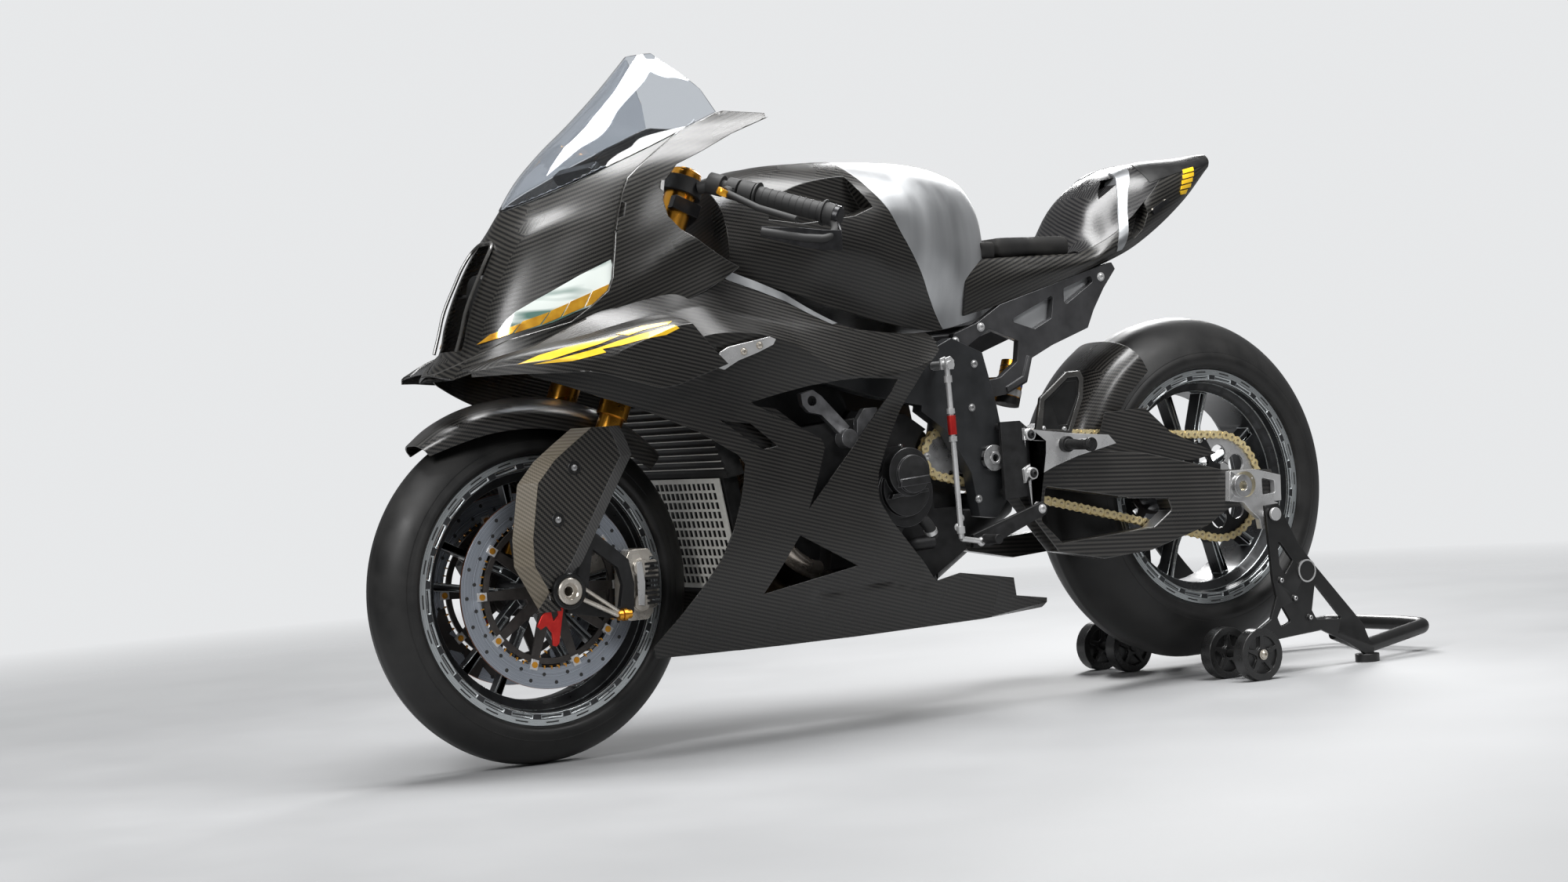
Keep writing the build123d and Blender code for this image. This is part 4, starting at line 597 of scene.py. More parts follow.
def dressed(name, material, edge, zones=(), highlight_material=None, slot=None):
    """A CAD node's own form with its edges broken; zones are (test of x, y, z, material)."""
    mesh = NODES[name].data.copy()
    made = linked(name + "_detailed", mesh)
    shape = bmesh.new()
    shape.from_mesh(mesh)
    bmesh.ops.remove_doubles(shape, verts=shape.verts, dist=2e-6)
    bmesh.ops.dissolve_limit(shape, angle_limit=radians(0.6), verts=shape.verts, edges=shape.edges)
    mesh.clear_geometry()
    mesh.materials.clear()
    plain = [material, highlight_material] if highlight_material else [material]
    for own in plain + [zone[1] for zone in zones]:
        mesh.materials.append(own)
    for face in shape.faces:
        face.smooth = True
        face.material_index = 0
        for number, (test, _) in enumerate(zones, len(plain)):
            if test(*in_mm(face.calc_center_median())):
                face.material_index = number
    shape.to_mesh(mesh)
    shape.free()
    if edge:
        soften(made, edge, 28, highlight_material)
    mesh.set_sharp_from_angle(angle=radians(34))
    return finish(made, BODY_OF[name], name)


def off_line(p, line):
    """How far a point is from a bent line, in the side view."""
    gaps = []
    for a, b in zip(line, line[1:]):
        along, to = Vector(b) - Vector(a), Vector(p) - Vector(a)
        gaps.append((to - along * min(1.0, max(0.0, to.dot(along) / along.length_squared))).length)
    return min(gaps)


# ---------------------------------------------------------------- nose, cowl and screen
# each level: z, then (x, half width) from the middle round to the cowl's rear edge
NOSE_LEVELS = [
    (662, [(-172, 0), (-156, 48), (-134, 80), (-78, 130), (10, 170), (120, 192), (236, 214)]),
    (690, [(-152, 0), (-138, 46), (-118, 79), (-58, 132), (38, 174), (154, 194), (270, 220)]),
    (715, [(-128, 0), (-118, 45), (-104, 78), (-42, 135), (60, 178), (180, 198), (300, 222)]),
    (760, [(-112, 0), (-104, 45), (-90, 80), (-22, 140), (80, 184), (210, 204), (330, 216)]),
    (850, [(-70, 0), (-62, 45), (-48, 80), (20, 138), (105, 183), (264, 202), (350, 206)]),
    (900, [(-40, 0), (-30, 42), (-15, 78), (45, 132), (118, 178), (250, 198), (330, 202)]),
    (950, [(-6, 0), (12, 48), (52, 92), (95, 134), (140, 168), (232, 188), (310, 196)]),
    (1000, [(36, 0), (52, 46), (92, 88), (127, 119), (172, 154), (244, 178), (320, 186)]),
    (1050, [(90, 0), (104, 43), (140, 82), (188, 112), (236, 138), (310, 158), (380, 162)]),
    (1106, [(158, 0), (168, 38), (200, 74), (260, 104), (340, 124), (446, 134), (480, 136)]),
    (1160, [(212, 0), (222, 34), (246, 62), (276, 82), (318, 96), (372, 106), (400, 110)]),
    (1221, [(262, 0), (266, 14), (271, 26), (277, 36), (284, 42), (292, 46), (300, 48)]),
]
NOSE_MIDDLE = (120, 0, 860)
SCREEN_FOOT, SCREEN_HEEL = (-8, 950), (362, 1106)
COWL_EDGE = [(452, 1104), (452, 1094), (372, 1066), (300, 1034), (246, 1012), (218, 984), (208, 950),
             (212, 922), (232, 898), (263, 873)]
BELOW_SCREEN = [SCREEN_FOOT, SCREEN_HEEL, *COWL_EDGE, (-99, 690), (-116, 676), (-200, 664), (-200, 950)]
OUTER_COWL = [(372, 1109), (357, 1105), (276, 1072), (222, 1038), (180, 1010), (158, 992), (142, 966),
              (126, 930), (115, 900), (107, 860), (98, 820), (88, 800), (60, 775), (25, 751), (-20, 740),
              (-68, 728), (-168, 676), (-150, 666), (-60, 700), (40, 722), (114, 740), (148, 754), (186, 764),
              (223, 774), (271, 793), (308, 812), (338, 830), (315, 843), *reversed(COWL_EDGE[:-1])]
ABOVE_SCREEN = [(-8, 952), (362, 1108), (345, 1150), (286, 1222), (240, 1232), (-60, 1002)]
INTAKE = [(-42, 716), (42, 716), (43, 760), (42, 850), (38, 880), (26, 894), (-26, 894), (-38, 880),
          (-42, 850), (-43, 760)]
NOSE_CREASES = [([(104, 793), (124, 806), (190, 843), (262, 884)], 7.0, 46.0)]
BOTH_FLANKS, LEFT_FLANK, MIDDLE = (-320, 320), (-330, 0), (-220, 220)  # how far the cutters reach across


def folded(grid, creases):
    """Raises sharp ridges on a surface's flanks: each is (line of (x, z), height, half width)."""
    for p in (p for row in grid for p in row):
        for line, height, reach in creases:
            near = off_line((p.x, p.z), line)
            if near < reach:
                p.y += height * (1 - near / reach) ** 2 * (1 if p.y > 0 else -1)
    return grid


def nose_surface(name):
    """The nose's whole skin, with the screen's surface running on from the cowl's."""
    rows = [[(x, -w, z) for x, w in reversed(row)] + [(x, w, z) for x, w in row[1:]]
            for z, row in NOSE_LEVELS]
    return surface(name, folded(patch(rows, 9, 9), NOSE_CREASES), NOSE_MIDDLE)


def nose():
    """The inner cowl with the intake, and the outer cowl laid over its flanks."""
    inner = within(thick(nose_surface("nose_cowl"), 3.0), BELOW_SCREEN, BOTH_FLANKS)
    carve(inner, prism(INTAKE, -230, 60, front=True))
    show(inner, SATIN_NOSE, "satin_carbon", instead="fairing_upper")
    outer = within(thick(nose_surface("outer_cowl"), 5.6, 6.6), OUTER_COWL, BOTH_FLANKS)
    show(outer, SATIN_NOSE, "satin_carbon", edge=1.3, highlight_material=CARBON_EDGE_HIGHLIGHT)


def intake():
    """The intake's lip, in the lighter edge carbon that paints a highlight, and the dark duct behind it."""
    line = [(-129, -44, 714), (-118, -45, 745), (-107, -45, 780), (-82, -44, 830), (-62, -42, 866),
            (-46, -34, 889), (-40, -24, 897), (-38, 0, 898)]
    lip = hose(line + [(x, -y, z) for x, y, z in reversed(line[:-1])], 3.0, 10, 6)
    group("intake_lip", [lip], CARBON_EDGE_HIGHLIGHT, "satin_carbon")
    duct = [(0, 44), (30, 42), (60, 34), (90, 30), (90, 26), (60, 30), (30, 38), (4, 41)]
    group("intake_duct", [lathe(duct, (-60, 0, 800), (1, 0, 0.1), 32)], BLACK_AND_SHADE, "black_plastic")


def screen():
    """The clear screen, bulged forward in its middle."""
    foot, tall, half_wide, depth = 950, 270, 125, 12
    pane = nose_surface("screen_pane")
    for v in pane.data.vertices:
        rise, aside = (v.co.z / MM - foot) / tall, abs(v.co.y / MM) / half_wide
        if 0 < rise < 1 and aside < 1:
            v.co.x -= depth * MM * sin(pi * rise) * (1 - aside**2)
    pane = within(thick(pane, 2.4, 1.0), ABOVE_SCREEN, BOTH_FLANKS)
    show(pane, SCREEN, "screen_clear", instead="windscreen", angle=60)


# ---------------------------------------------------------------- side fairings
# each station: x, then (half width, z): inner edge, upper edge, crease, then down to the belly's seam
SIDE_STATIONS = [
    (-99, [(98, 702), (146, 690), (162, 672), (156, 600), (148, 420), (140, 260), (110, 172)]),
    (20, [(160, 752), (222, 722), (244, 686), (228, 600), (220, 420), (198, 260), (150, 172)]),
    (150, [(186, 812), (222, 752), (250, 690), (236, 600), (224, 420), (200, 260), (150, 170)]),
    (258, [(190, 858), (214, 766), (250, 716), (236, 600), (224, 420), (200, 260), (148, 168)]),
    (330, [(180, 832), (212, 746), (250, 714), (230, 592), (222, 420), (198, 260), (146, 167)]),
    (410, [(172, 804), (210, 730), (248, 694), (224, 586), (220, 420), (196, 260), (144, 166)]),
    (521, [(158, 758), (204, 718), (240, 634), (216, 570), (214, 420), (192, 260), (140, 166)]),
    (610, [(151, 724), (196, 708), (222, 630), (206, 560), (208, 420), (187, 260), (137, 166)]),
    (694, [(148, 708), (184, 698), (208, 638), (192, 566), (198, 420), (181, 260), (134, 167)]),
    (750, [(146, 704), (174, 692), (198, 654), (186, 570), (191, 420), (176, 260), (132, 168)]),
    (882, [(146, 690), (165, 676), (180, 650), (176, 570), (178, 420), (168, 260), (128, 170)]),
]
SIDE_OUTLINE = [(-99, 688), (40, 752), (150, 806), (236, 850), (262, 842), (330, 826), (390, 806), (450, 784),
                (548, 724), (590, 712), (640, 706), (700, 702), (762, 702), (762, 668), (738, 652),
                (714, 632), (680, 590), (650, 552), (618, 500), (598, 462), (592, 436), (594, 408),
                (620, 370), (674, 310), (730, 252), (785, 262), (882, 247), (882, 160), (162, 160),
                (146, 190), (200, 258), (260, 330), (286, 380), (300, 420), (309, 460), (314, 492),
                (300, 508), (222, 552), (130, 590), (34, 622), (-60, 662)]
SIDE_OPENING = [(330, 596), (392, 608), (450, 618), (510, 624), (560, 626), (620, 623), (650, 620),
                (634, 596), (600, 560), (552, 510), (500, 462), (442, 404), (470, 470), (486, 510),
                (478, 526)]
LOWER_OPENING = [(422, 360), (546, 296), (350, 264)]
SLOT = [(268, 568), (330, 560), (384, 518), (352, 514)]
LOUVRE_CUTS = [[(140, 548), (196, 524), (198, 521), (142, 545)],
               [(204, 520), (262, 488), (260, 485), (202, 517)]]
SIDE_CREASES = [([(650, 552), (594, 456), (594, 408), (700, 280)], 5.0, 30.0),
                ([(470, 250), (620, 262), (700, 240)], -8.0, 26.0)]
DUCT_STRIP = [(300, 824), (330, 826), (392, 805), (450, 783), (520, 741), (546, 726), (530, 724), (446, 768),
              (388, 789), (326, 809)]
VENT_BLADES = [([(277, 574), (393, 556), (381, 516), (366, 506)], 205),
               ([(325, 594), (396, 583), (483, 519), (471, 524), (475, 469), (439, 403), (420, 410),
                 (440, 470), (440, 510), (390, 566)], 203)]


def side_surface(name):
    """The left fairing's skin."""
    rows = [[(x, -w, z) for w, z in row] for x, row in SIDE_STATIONS]
    return surface(name, folded(patch(rows, 12, 9, sharp=(1, 2)), SIDE_CREASES), (300, 200, 500))


def side_fairings():
    """The side fairings with their openings."""
    left = within(thick(side_surface("side_fairing_left"), 3.0), SIDE_OUTLINE, LEFT_FLANK)
    for hole in (SIDE_OPENING, LOWER_OPENING, SLOT, *LOUVRE_CUTS):
        carve(left, prism(hole, *LEFT_FLANK))
    for piece, node_name in ((left, "fairing_left"), (mirrored(left, "side_fairing_right"), "fairing_right")):
        show(piece, SATIN, "satin_carbon", instead=node_name, edge=0.5)


def side_marks():
    """A bright strip along the duct on each side fairing, and the blades inside its openings."""
    left = joined("duct_strip_left", films(side_surface, [DUCT_STRIP], 0.9, 0.9, LEFT_FLANK))
    for piece in (left, mirrored(left, "duct_strip_right")):
        show(piece, SATIN_SILVER, "brushed_aluminium")
    for number, (outline, y) in enumerate(VENT_BLADES):
        pair = [prism(outline, hand * y - 1.2, hand * y + 1.2) for hand in HANDS]
        group("vent_blades_%d" % number, pair, SATIN, "satin_carbon", edge=0.6)


# ---------------------------------------------------------------- winglets
WING_STATIONS = [
    (-150, [(104, 682), (128, 681), (140, 677), (141, 668)]),
    (-104, [(150, 700), (172, 694), (184, 684), (186, 668)]),
    (-40, [(196, 716), (222, 706), (238, 688), (240, 664)]),
    (20, [(222, 726), (252, 714), (272, 684), (274, 658)]),
    (70, [(228, 738), (258, 726), (280, 699), (284, 644)]),
    (120, [(232, 748), (262, 738), (286, 717), (291, 630)]),
    (174, [(235, 754), (268, 746), (291, 733), (296, 636)]),
    (230, [(236, 750), (270, 742), (293, 730), (298, 645)]),
    (290, [(238, 730), (272, 722), (292, 712), (297, 650)]),
]
WING_OUTLINE = [(-168, 676), (-150, 668), (-104, 668), (-40, 665), (1, 664), (30, 658), (60, 648), (100, 636),
                (135, 626), (190, 644), (252, 663), (226, 690), (197, 726), (184, 742), (164, 752),
                (120, 756), (0, 742), (-104, 712)]
SLASHES = [
    [(-92, 684), (-60, 697), (-21, 707), (30, 716), (67, 721), (30, 709), (-10, 699), (-50, 688)],
    [(-72, 682), (-30, 690), (20, 701), (60, 712), (95, 720), (158, 733), (165, 727), (140, 717), (100, 712),
     (62, 704), (30, 700), (34, 694), (-20, 683)],
    [(62, 724), (110, 735), (160, 740), (150, 735), (104, 727), (80, 720)],
]
BRACKET = [(244, 660), (256, 684), (272, 692), (356, 706), (368, 701), (362, 692), (330, 680), (290, 668),
           (262, 654)]
WING_BOLTS = [(302, 683), (334, 692)]


def wing_surface(name):
    """The left winglet's skin, folded along its upper edge."""
    rows = [[(x, -w, z) for w, z in row] for x, row in WING_STATIONS]
    return surface(name, patch(rows, 8, 8, sharp=(2,)), (100, -180, 640))


def winglets():
    """The winglets, their yellow slashes and the silver brackets behind them."""
    left = within(thick(wing_surface("winglet_skin_left"), 3.0), WING_OUTLINE, LEFT_FLANK)
    slashes = joined("winglet_slashes_left", films(wing_surface, SLASHES, 0.9, 0.7, LEFT_FLANK))
    holder = joined("winglet_bracket_left", [prism(BRACKET, -266, -262)])
    heads = joined("winglet_bolts_left", [bolt((x, -266, z), LEFTWARD, 5.5) for x, z in WING_BOLTS])
    posts = joined("winglet_posts_left", [lathe([(0, 6), (30, 6)], (x, -262, z), ACROSS, 16)
                                          for x, z in (*WING_BOLTS, (262, 674))])
    for piece, material, slot, edge in (
        (left, SATIN, "satin_carbon", 0.5), (slashes, YELLOW, "satin_carbon", 0),
        (holder, SILVER, "bare_aluminium", 0.6), (heads, NICKEL, "bare_steel", 0),
        (posts, CAST_BLACK, "engine_black", 0),
    ):
        twin = mirrored(piece, piece.name.replace("left", "right"))
        if piece is left:
            show(piece, material, slot, instead="winglet_left", edge=edge, highlight_material=CARBON_EDGE_HIGHLIGHT)
            show(twin, material, slot, instead="winglet_right", edge=edge)
        else:
            show(piece, material, slot, edge=edge)
            show(twin, material, slot, edge=edge)


# ---------------------------------------------------------------- stickers on the nose
LAMP = [(-98, 728), (-76, 746), (-64, 762), (-50, 774), (-20, 791), (3, 803), (52, 829), (103, 852),
        (105, 830), (102, 800), (96, 786), (70, 778), (40, 768), (0, 752), (-40, 742)]
AMBER = [[(-104, 724), (-88, 739), (-46, 754), (-60, 738)], [(-57, 738), (-43, 757), (-3, 770), (-20, 749)],
         [(-17, 749), (0, 772), (28, 783), (12, 760)], [(15, 761), (31, 785), (64, 798), (50, 774)],
         [(53, 775), (67, 800), (97, 812), (98, 802), (88, 786)]]


def lamp_stickers():
    """The pale lamp stickers on both flanks of the nose, with their amber lower border."""
    for name, outlines, lift, material in (("lamp_sticker", [LAMP], 0.9, LAMP_FILM),
                                           ("amber_border", AMBER, 1.7, AMBER_FILM)):
        group(name, films(nose_surface, outlines, 0.8, lift, BOTH_FLANKS), material, "satin_carbon")


# ---------------------------------------------------------------- tank
TANK_STATIONS = [
    (372, [(0, 985), (60, 975), (110, 930), (125, 870), (118, 826)]),
    (410, [(0, 1002), (72, 992), (126, 942), (146, 876), (138, 808)]),
    (450, [(0, 1012), (80, 1004), (140, 952), (160, 880), (150, 794)]),
    (560, [(0, 1020), (95, 1014), (165, 960), (182, 880), (158, 756)]),
    (680, [(0, 1022), (98, 1015), (172, 955), (190, 870), (150, 724)]),
    (800, [(0, 1016), (88, 1008), (155, 945), (170, 860), (138, 706)]),
    (870, [(0, 1005), (70, 996), (125, 935), (138, 860), (116, 716)]),
    (930, [(0, 982), (50, 972), (95, 920), (108, 850), (95, 730)]),
    (952, [(0, 948), (34, 938), (70, 896), (80, 836), (76, 748)]),
]
SEAM = [(610, 1045), (622, 1004), (646, 962), (672, 926), (745, 815), (822, 690)]
COVER_RECESS = [(470, 985), (540, 992), (604, 996), (618, 965), (640, 930), (600, 915), (500, 905),
                (440, 915)]
KNEE = [([(700, 860), (760, 800), (800, 750)], -10.0, 75.0),
        ([(560, 800), (650, 770), (740, 740)], -9.0, 70.0)]


def tank_body(name):
    """The tank's and its cover's common form, drawn in at the knees."""
    made = hull_piece(name, TANK_STATIONS, 10, 8)
    for v in made.data.vertices:
        x, _, z = in_mm(v.co)
        for line, height, reach in KNEE:
            near = off_line((x, z), line)
            if near < reach and abs(v.co.y) > 60 * MM:
                v.co.y += height * MM * (1 - (near / reach) ** 2) ** 2 * (1 if v.co.y > 0 else -1)
    return made


def tank():
    """The carbon cover and the raw tank behind its seam."""
    cover = within(grown(tank_body("tank_cover_skin"), 1.5), [(360, 1050), *SEAM, (360, 690)], MIDDLE)
    for hand in HANDS:
        carve(cover, prism(COVER_RECESS, hand * 145, hand * 230))
    show(cover, SATIN, "satin_carbon", instead="tank_cover", edge=0.8)
    raw = within(tank_body("raw_tank"), [*[(x + 1, z) for x, z in SEAM], (980, 690), (980, 1050)], MIDDLE)
    show(raw, RAW_TANK, "brushed_aluminium", instead="fuel_tank", edge=0.8)


# ---------------------------------------------------------------- tail
TAIL_STATIONS = [
    (868, [(0, 834), (60, 834), (120, 834), (132, 800), (124, 730)]),
    (956, [(0, 834), (60, 834), (114, 834), (126, 800), (116, 748)]),
    (1060, [(0, 835), (60, 835), (116, 835), (129, 812), (116, 774)]),
    (1150, [(0, 838), (60, 838), (118, 838), (130, 820), (116, 800)]),
    (1180, [(0, 878), (60, 868), (114, 843), (131, 826), (114, 808)]),
    (1225, [(0, 950), (63, 938), (112, 880), (130, 848), (112, 822)]),
    (1279, [(0, 992), (66, 978), (108, 915), (126, 870), (108, 842)]),
    (1340, [(0, 1012), (68, 1004), (112, 950), (118, 905), (100, 872)]),
    (1445, [(0, 1018), (66, 1016), (100, 985), (100, 960), (84, 938)]),
    (1532, [(0, 1024), (60, 1023), (64, 1016), (62, 1006), (52, 998)]),
]
HUMP = [(1152, 838), (1190, 850), (1240, 876), (1290, 908), (1345, 955), (1400, 1004), (1408, 1050),
        (1150, 1050)]
SEAT_END = [(860, 834.5), (1152, 838.5), (1152, 860), (1100, 900), (860, 900)]
DUCT = [(1262, 880), (1276, 918), (1296, 946), (1318, 938), (1322, 912), (1306, 880), (1282, 862)]
HUMP_WINDOW = [(1240, 944), (1262, 958), (1284, 972), (1292, 986), (1272, 982), (1250, 962)]
SILVER_BAND = [(1236, 838), (1252, 842), (1268, 884), (1296, 958), (1330, 1012), (1332, 1030), (1312, 1030),
               (1282, 970), (1254, 896), (1234, 850)]
TAIL_INSET = [(1338, 1000), (1352, 1030), (1532, 1030), (1520, 1008), (1420, 990), (1346, 972)]
ZIGZAG = [[(1436, 996), (1468, 1002), (1466, 994), (1434, 988)],
          [(1430, 985), (1464, 991), (1462, 983), (1428, 977)],
          [(1424, 974), (1458, 980), (1456, 972), (1422, 966)],
          [(1420, 963), (1452, 969), (1450, 961), (1417, 956)],
          [(1414, 953), (1440, 957), (1436, 948), (1418, 946)]]
DOG_BONE = [(1330, 915), (1338, 922), (1366, 935), (1376, 938), (1378, 931), (1368, 926), (1342, 911),
            (1334, 908)]


def tail_body(name):
    """The tail's whole form."""
    return hull_piece(name, TAIL_STATIONS, 7, 6)


def tail():
    """The seat unit and tail, and the glossy hump."""
    unit = tail_body("tail_skin")
    for cutter in (prism(HUMP, *MIDDLE), prism(SEAT_END, *MIDDLE), tank_body("cutter")):
        carve(unit, cutter)
    hump = within(tail_body("hump_shell"), HUMP, MIDDLE)
    for hand in HANDS:
        carve(unit, prism(DUCT, hand * 88, hand * 220))
        carve(hump, prism(HUMP_WINDOW, hand * 30, hand * 220))
    show(unit, SATIN_NOSE, "satin_carbon", instead="tail_unit", edge=0.6)
    show(hump, GLOSSY, "gloss_black", instead="tail_hump", edge=0.6)


def flank_marks():
    """The silver band, the black inset, the yellow zigzag and the small bracket on each flank of the tail."""
    for name, outlines, lift, material in (
        ("tail_band", [SILVER_BAND], 2.0, SATIN_SILVER), ("tail_inset", [TAIL_INSET], 1.0, BLACK_PAINT),
        ("tail_zigzag", ZIGZAG, 2.4, YELLOW), ("tail_bracket", [DOG_BONE], 5.0, ANODISED_BLACK),
    ):
        parts = [within(grown(tail_body("film"), lift), outline, (hand * 40, hand * 220))
                 for outline in outlines for hand in HANDS]
        group(name, parts, material, "satin_carbon")
    spots = [(x, -hand * y, z) for x, y, z in ((1336, 119, 915), (1370, 116, 932)) for hand in HANDS]
    group("tail_bolts", [bolt(spot, LEFTWARD, 4.5) for spot in spots], NICKEL, None)


# ---------------------------------------------------------------- wheels
DISC_Y, BOBBINS = 74, 10
# half profile of a tyre: (distance off the middle, radius) from the crown down to the rim
FRONT_TYRE = [(0, 300), (17.4, 296.5), (34.7, 285.5), (50.8, 267.5), (59.5, 250), (61.9, 243), (60, 237),
              (56, 233)]
REAR_TYRE = [(0, 338), (30.6, 332.5), (59.2, 315), (85.7, 288.5), (98, 266), (101.9, 254), (99, 243),
             (92, 235)]


def tyre(name, half, hub, seat):
    """A slick tyre: its half profile runs on to the rim's seat and is mirrored."""
    line = [(p.x, p.y) for p in curve([(a, r, 0) for a, r in half], 7)]
    side = line[1:] + [(seat - 1, 231.5), (seat - 3.2, 230.5), (seat - 3.2, 218.2)]
    profile = [(-a, r) for a, r in reversed(side)] + [line[0]] + side
    group(name + "_slick", [lathe(profile, hub, ACROSS, 160, ring=True)], TYRE, "tyre_rubber", BODY_OF[name],
          instead=name, angle=50)


def sidewall_rings(name, hub, rings, body):
    """Thin moulded rings on both sidewalls: each is (radius, distance off the middle)."""
    made = []
    for hand in HANDS:
        for r, y in rings:
            foot, top = hand * (y - 1.2), hand * (y + 0.6)
            profile = [(foot, r - 1.1), (top, r - 0.7), (top, r + 0.7), (foot, r + 1.1)]
            made.append(lathe(profile, hub, ACROSS, 120, ring=True))
    group(name, made, TYRE, "tyre_rubber", body)


def rim_lips(name, hub, half, material, body):
    """Bright machined lips on both edges of a rim, with dark blocks round them that paint the shade of slots.
    """
    lip = [(half - 2, 231.6), (half + 0.5, 230.8), (half + 0.5, 220.6), (half - 1, 219.6), (half - 4, 220)]
    well = [(half - 3, 215), (half - 2.2, 214), (half - 2.2, 210), (half - 5, 208.6), (half - 8, 212)]
    rings = [lathe([(hand * a, r) for a, r in profile], hub, ACROSS, 144, ring=True)
             for hand in HANDS for profile in (lip, well)]
    # dark blocks that stand for slots: painted shade
    slot_shade = [lug(on_circle(hub, 225.5, turn, hand * (half + 0.3)), turn, 1.2, 12, 1.0)
             for hand in HANDS for turn in turns(24)]
    group(name, rings, material, "rim_paint", body, angle=40)
    group(name + "_slots", slot_shade, BLACK_AND_SHADE, "rim_paint", body)


def close_to(hub, radius):
    """A test for what lies round an axle in the side view."""
    return lambda x, y, z: hypot(x - hub[0], z - hub[2]) < radius


def wheels():
    """Tyres, rims, discs and the rear sprocket."""
    tyre("front_tyre", FRONT_TYRE, FRONT_HUB, 52)
    tyre("rear_tyre", REAR_TYRE, REAR_HUB, 85)
    sidewall_rings("front_sidewall_rings", FRONT_HUB, [(240, 60.6), (256, 57)], "front_wheel")
    sidewall_rings("rear_sidewall_rings", REAR_HUB, [(246, 99.4), (264, 98.4)], "rear_wheel")
    dressed("front_rim", RIM_BLACK, 1.1, (), RIM_EDGE_HIGHLIGHT, "rim_paint")
    dressed("rear_rim", RIM_BLACK, 1.3, (), RIM_EDGE_HIGHLIGHT, "rim_paint")
    rim_lips("front_rim_lips", FRONT_HUB, 52, FRONT_LIP, "front_wheel")
    rim_lips("rear_rim_lips", REAR_HUB, 85, REAR_LIP, "rear_wheel")
    dressed("front_discs", FRONT_DISC, 0.3, [(close_to(FRONT_HUB, 127), CARRIER)])
    dressed("rear_disc", REAR_DISC, 0.3, [(close_to(REAR_HUB, 80), CARRIER)])
    disc_parts()
    dressed("rear_sprocket", SILVER, 0.4, [(close_to(REAR_HUB, 58), CAST_BLACK)])


def disc_parts():
    """Bobbins on blocks, gold notches and bronzed edges of the front discs, and dark plugs that paint the
    shade in their holes.
    """
    buttons, blocks, notches, edges, hole_shade_plugs = [], [], [], [], []
    for y in (-DISC_Y, DISC_Y):
        for turn in turns(BOBBINS):
            spot = on_circle(FRONT_HUB, 129, turn, y)
            buttons.append(lathe([(-6.4, 4), (-6.4, 5.4), (6.4, 5.4), (6.4, 4)], spot, ACROSS, 20))
            blocks.append(lug(spot, turn + pi / 2, 7.2, 9.0, 11.0))
        for turn in turns(60, pi / 60):
            if abs((turn * BOBBINS / tau + 0.5) % 1 - 0.5) > 0.16:  # clear of the bobbins
                notches.append(lug(on_circle(FRONT_HUB, 130.5, turn, y), turn + pi / 2, 1.0, 3.0, 6.8))
        edge = [(y - 2.2, 165.8), (y - 2.2, 167.3), (y + 2.2, 167.3), (y + 2.2, 165.8)]
        edges.append(lathe(edge, FRONT_HUB, ACROSS, 120, ring=True))
        # dark plugs in the discs' holes: painted shade
        for radius, start in ((156.2, 0.0), (142.5, pi / 20)):
            hole_shade_plugs += [lathe([(-3.15, 3.3), (3.15, 3.3)], on_circle(FRONT_HUB, radius, turn, y), ACROSS, 14)
                      for turn in turns(20, start)]
    for name, parts, material, slot, edge in (
        ("disc_bobbins", buttons, GOLD, "gold_anodised", 0),
        ("disc_blocks", blocks, SILVER, "bare_steel", 0.6),
        ("disc_notches", notches, GOLD, "gold_anodised", 0),
        ("disc_edges", edges, COPPER, "bare_steel", 0),
        ("disc_hole_shadows", hole_shade_plugs, BLACK_AND_SHADE, "bare_steel", 0),
    ):
        group(name, parts, material, slot, "front_wheel", edge=edge)


# ---------------------------------------------------------------- chain
CHAIN_PITCH, CHAIN_LINKS, CHAIN_Y = 15.875, 112, -114.0
FRONT_TEETH, REAR_TEETH = 16, 40
LINK_RADIUS, LINK_WAIST = 8.1, 4.9


def pitch_radius(teeth):
    """Radius of a sprocket's pitch circle."""
    return CHAIN_PITCH / 2 / sin(pi / teeth)


def straight(a, b, share):
    """A point between two others."""
    return tuple(p + (q - p) * share for p, q in zip(a, b))


def chain_pins():
    """The places of the chain's pins, round both sprockets."""
    x, _, z = in_mm(sum(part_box("front_sprocket"), Vector()) / 2)
    front, small, big = (x, 0, z), pitch_radius(FRONT_TEETH), pitch_radius(REAR_TEETH)
    apart = hypot(WHEELBASE - x, REAR_Z - z)
    run = (apart**2 - (big - small) ** 2) ** 0.5
    lean, half_wrap = atan2(REAR_Z - z, WHEELBASE - x), pi / 2 + atan2(big - small, run)
    top, low = lean + half_wrap, lean - half_wrap
    stretches = (
        (run, lambda s: straight(on_circle(REAR_HUB, big, top), on_circle(front, small, top), s / run)),
        ((tau - 2 * half_wrap) * small, lambda s: on_circle(front, small, top + s / small)),
        (run, lambda s: straight(on_circle(front, small, low), on_circle(REAR_HUB, big, low), s / run)),
        (2 * half_wrap * big, lambda s: on_circle(REAR_HUB, big, low + s / big)),
    )
    total = sum(length for length, _ in stretches)
    pins = []
    for k in range(CHAIN_LINKS):
        s = total * k / CHAIN_LINKS
        for length, place in stretches:
            if s < length:
                pins.append(place(s))
                break
            s -= length
    return pins


def link_plate(a, b, low, high):
    """One waisted side plate between two pins."""
    a, b = Vector((a[0], a[2])), Vector((b[0], b[2]))
    along = (b - a).normalized()
    up = Vector((-along.y, along.x))
    outline = []
    for centre, start, waist in ((b, -90, LINK_WAIST), (a, 90, -LINK_WAIST)):
        for k in range(6):
            turn = radians(start + k * 36)
            outline.append(centre + (along * cos(turn) + up * sin(turn)) * LINK_RADIUS)
        outline.append((a + b) / 2 + up * waist)
    return prism(outline, low, high)


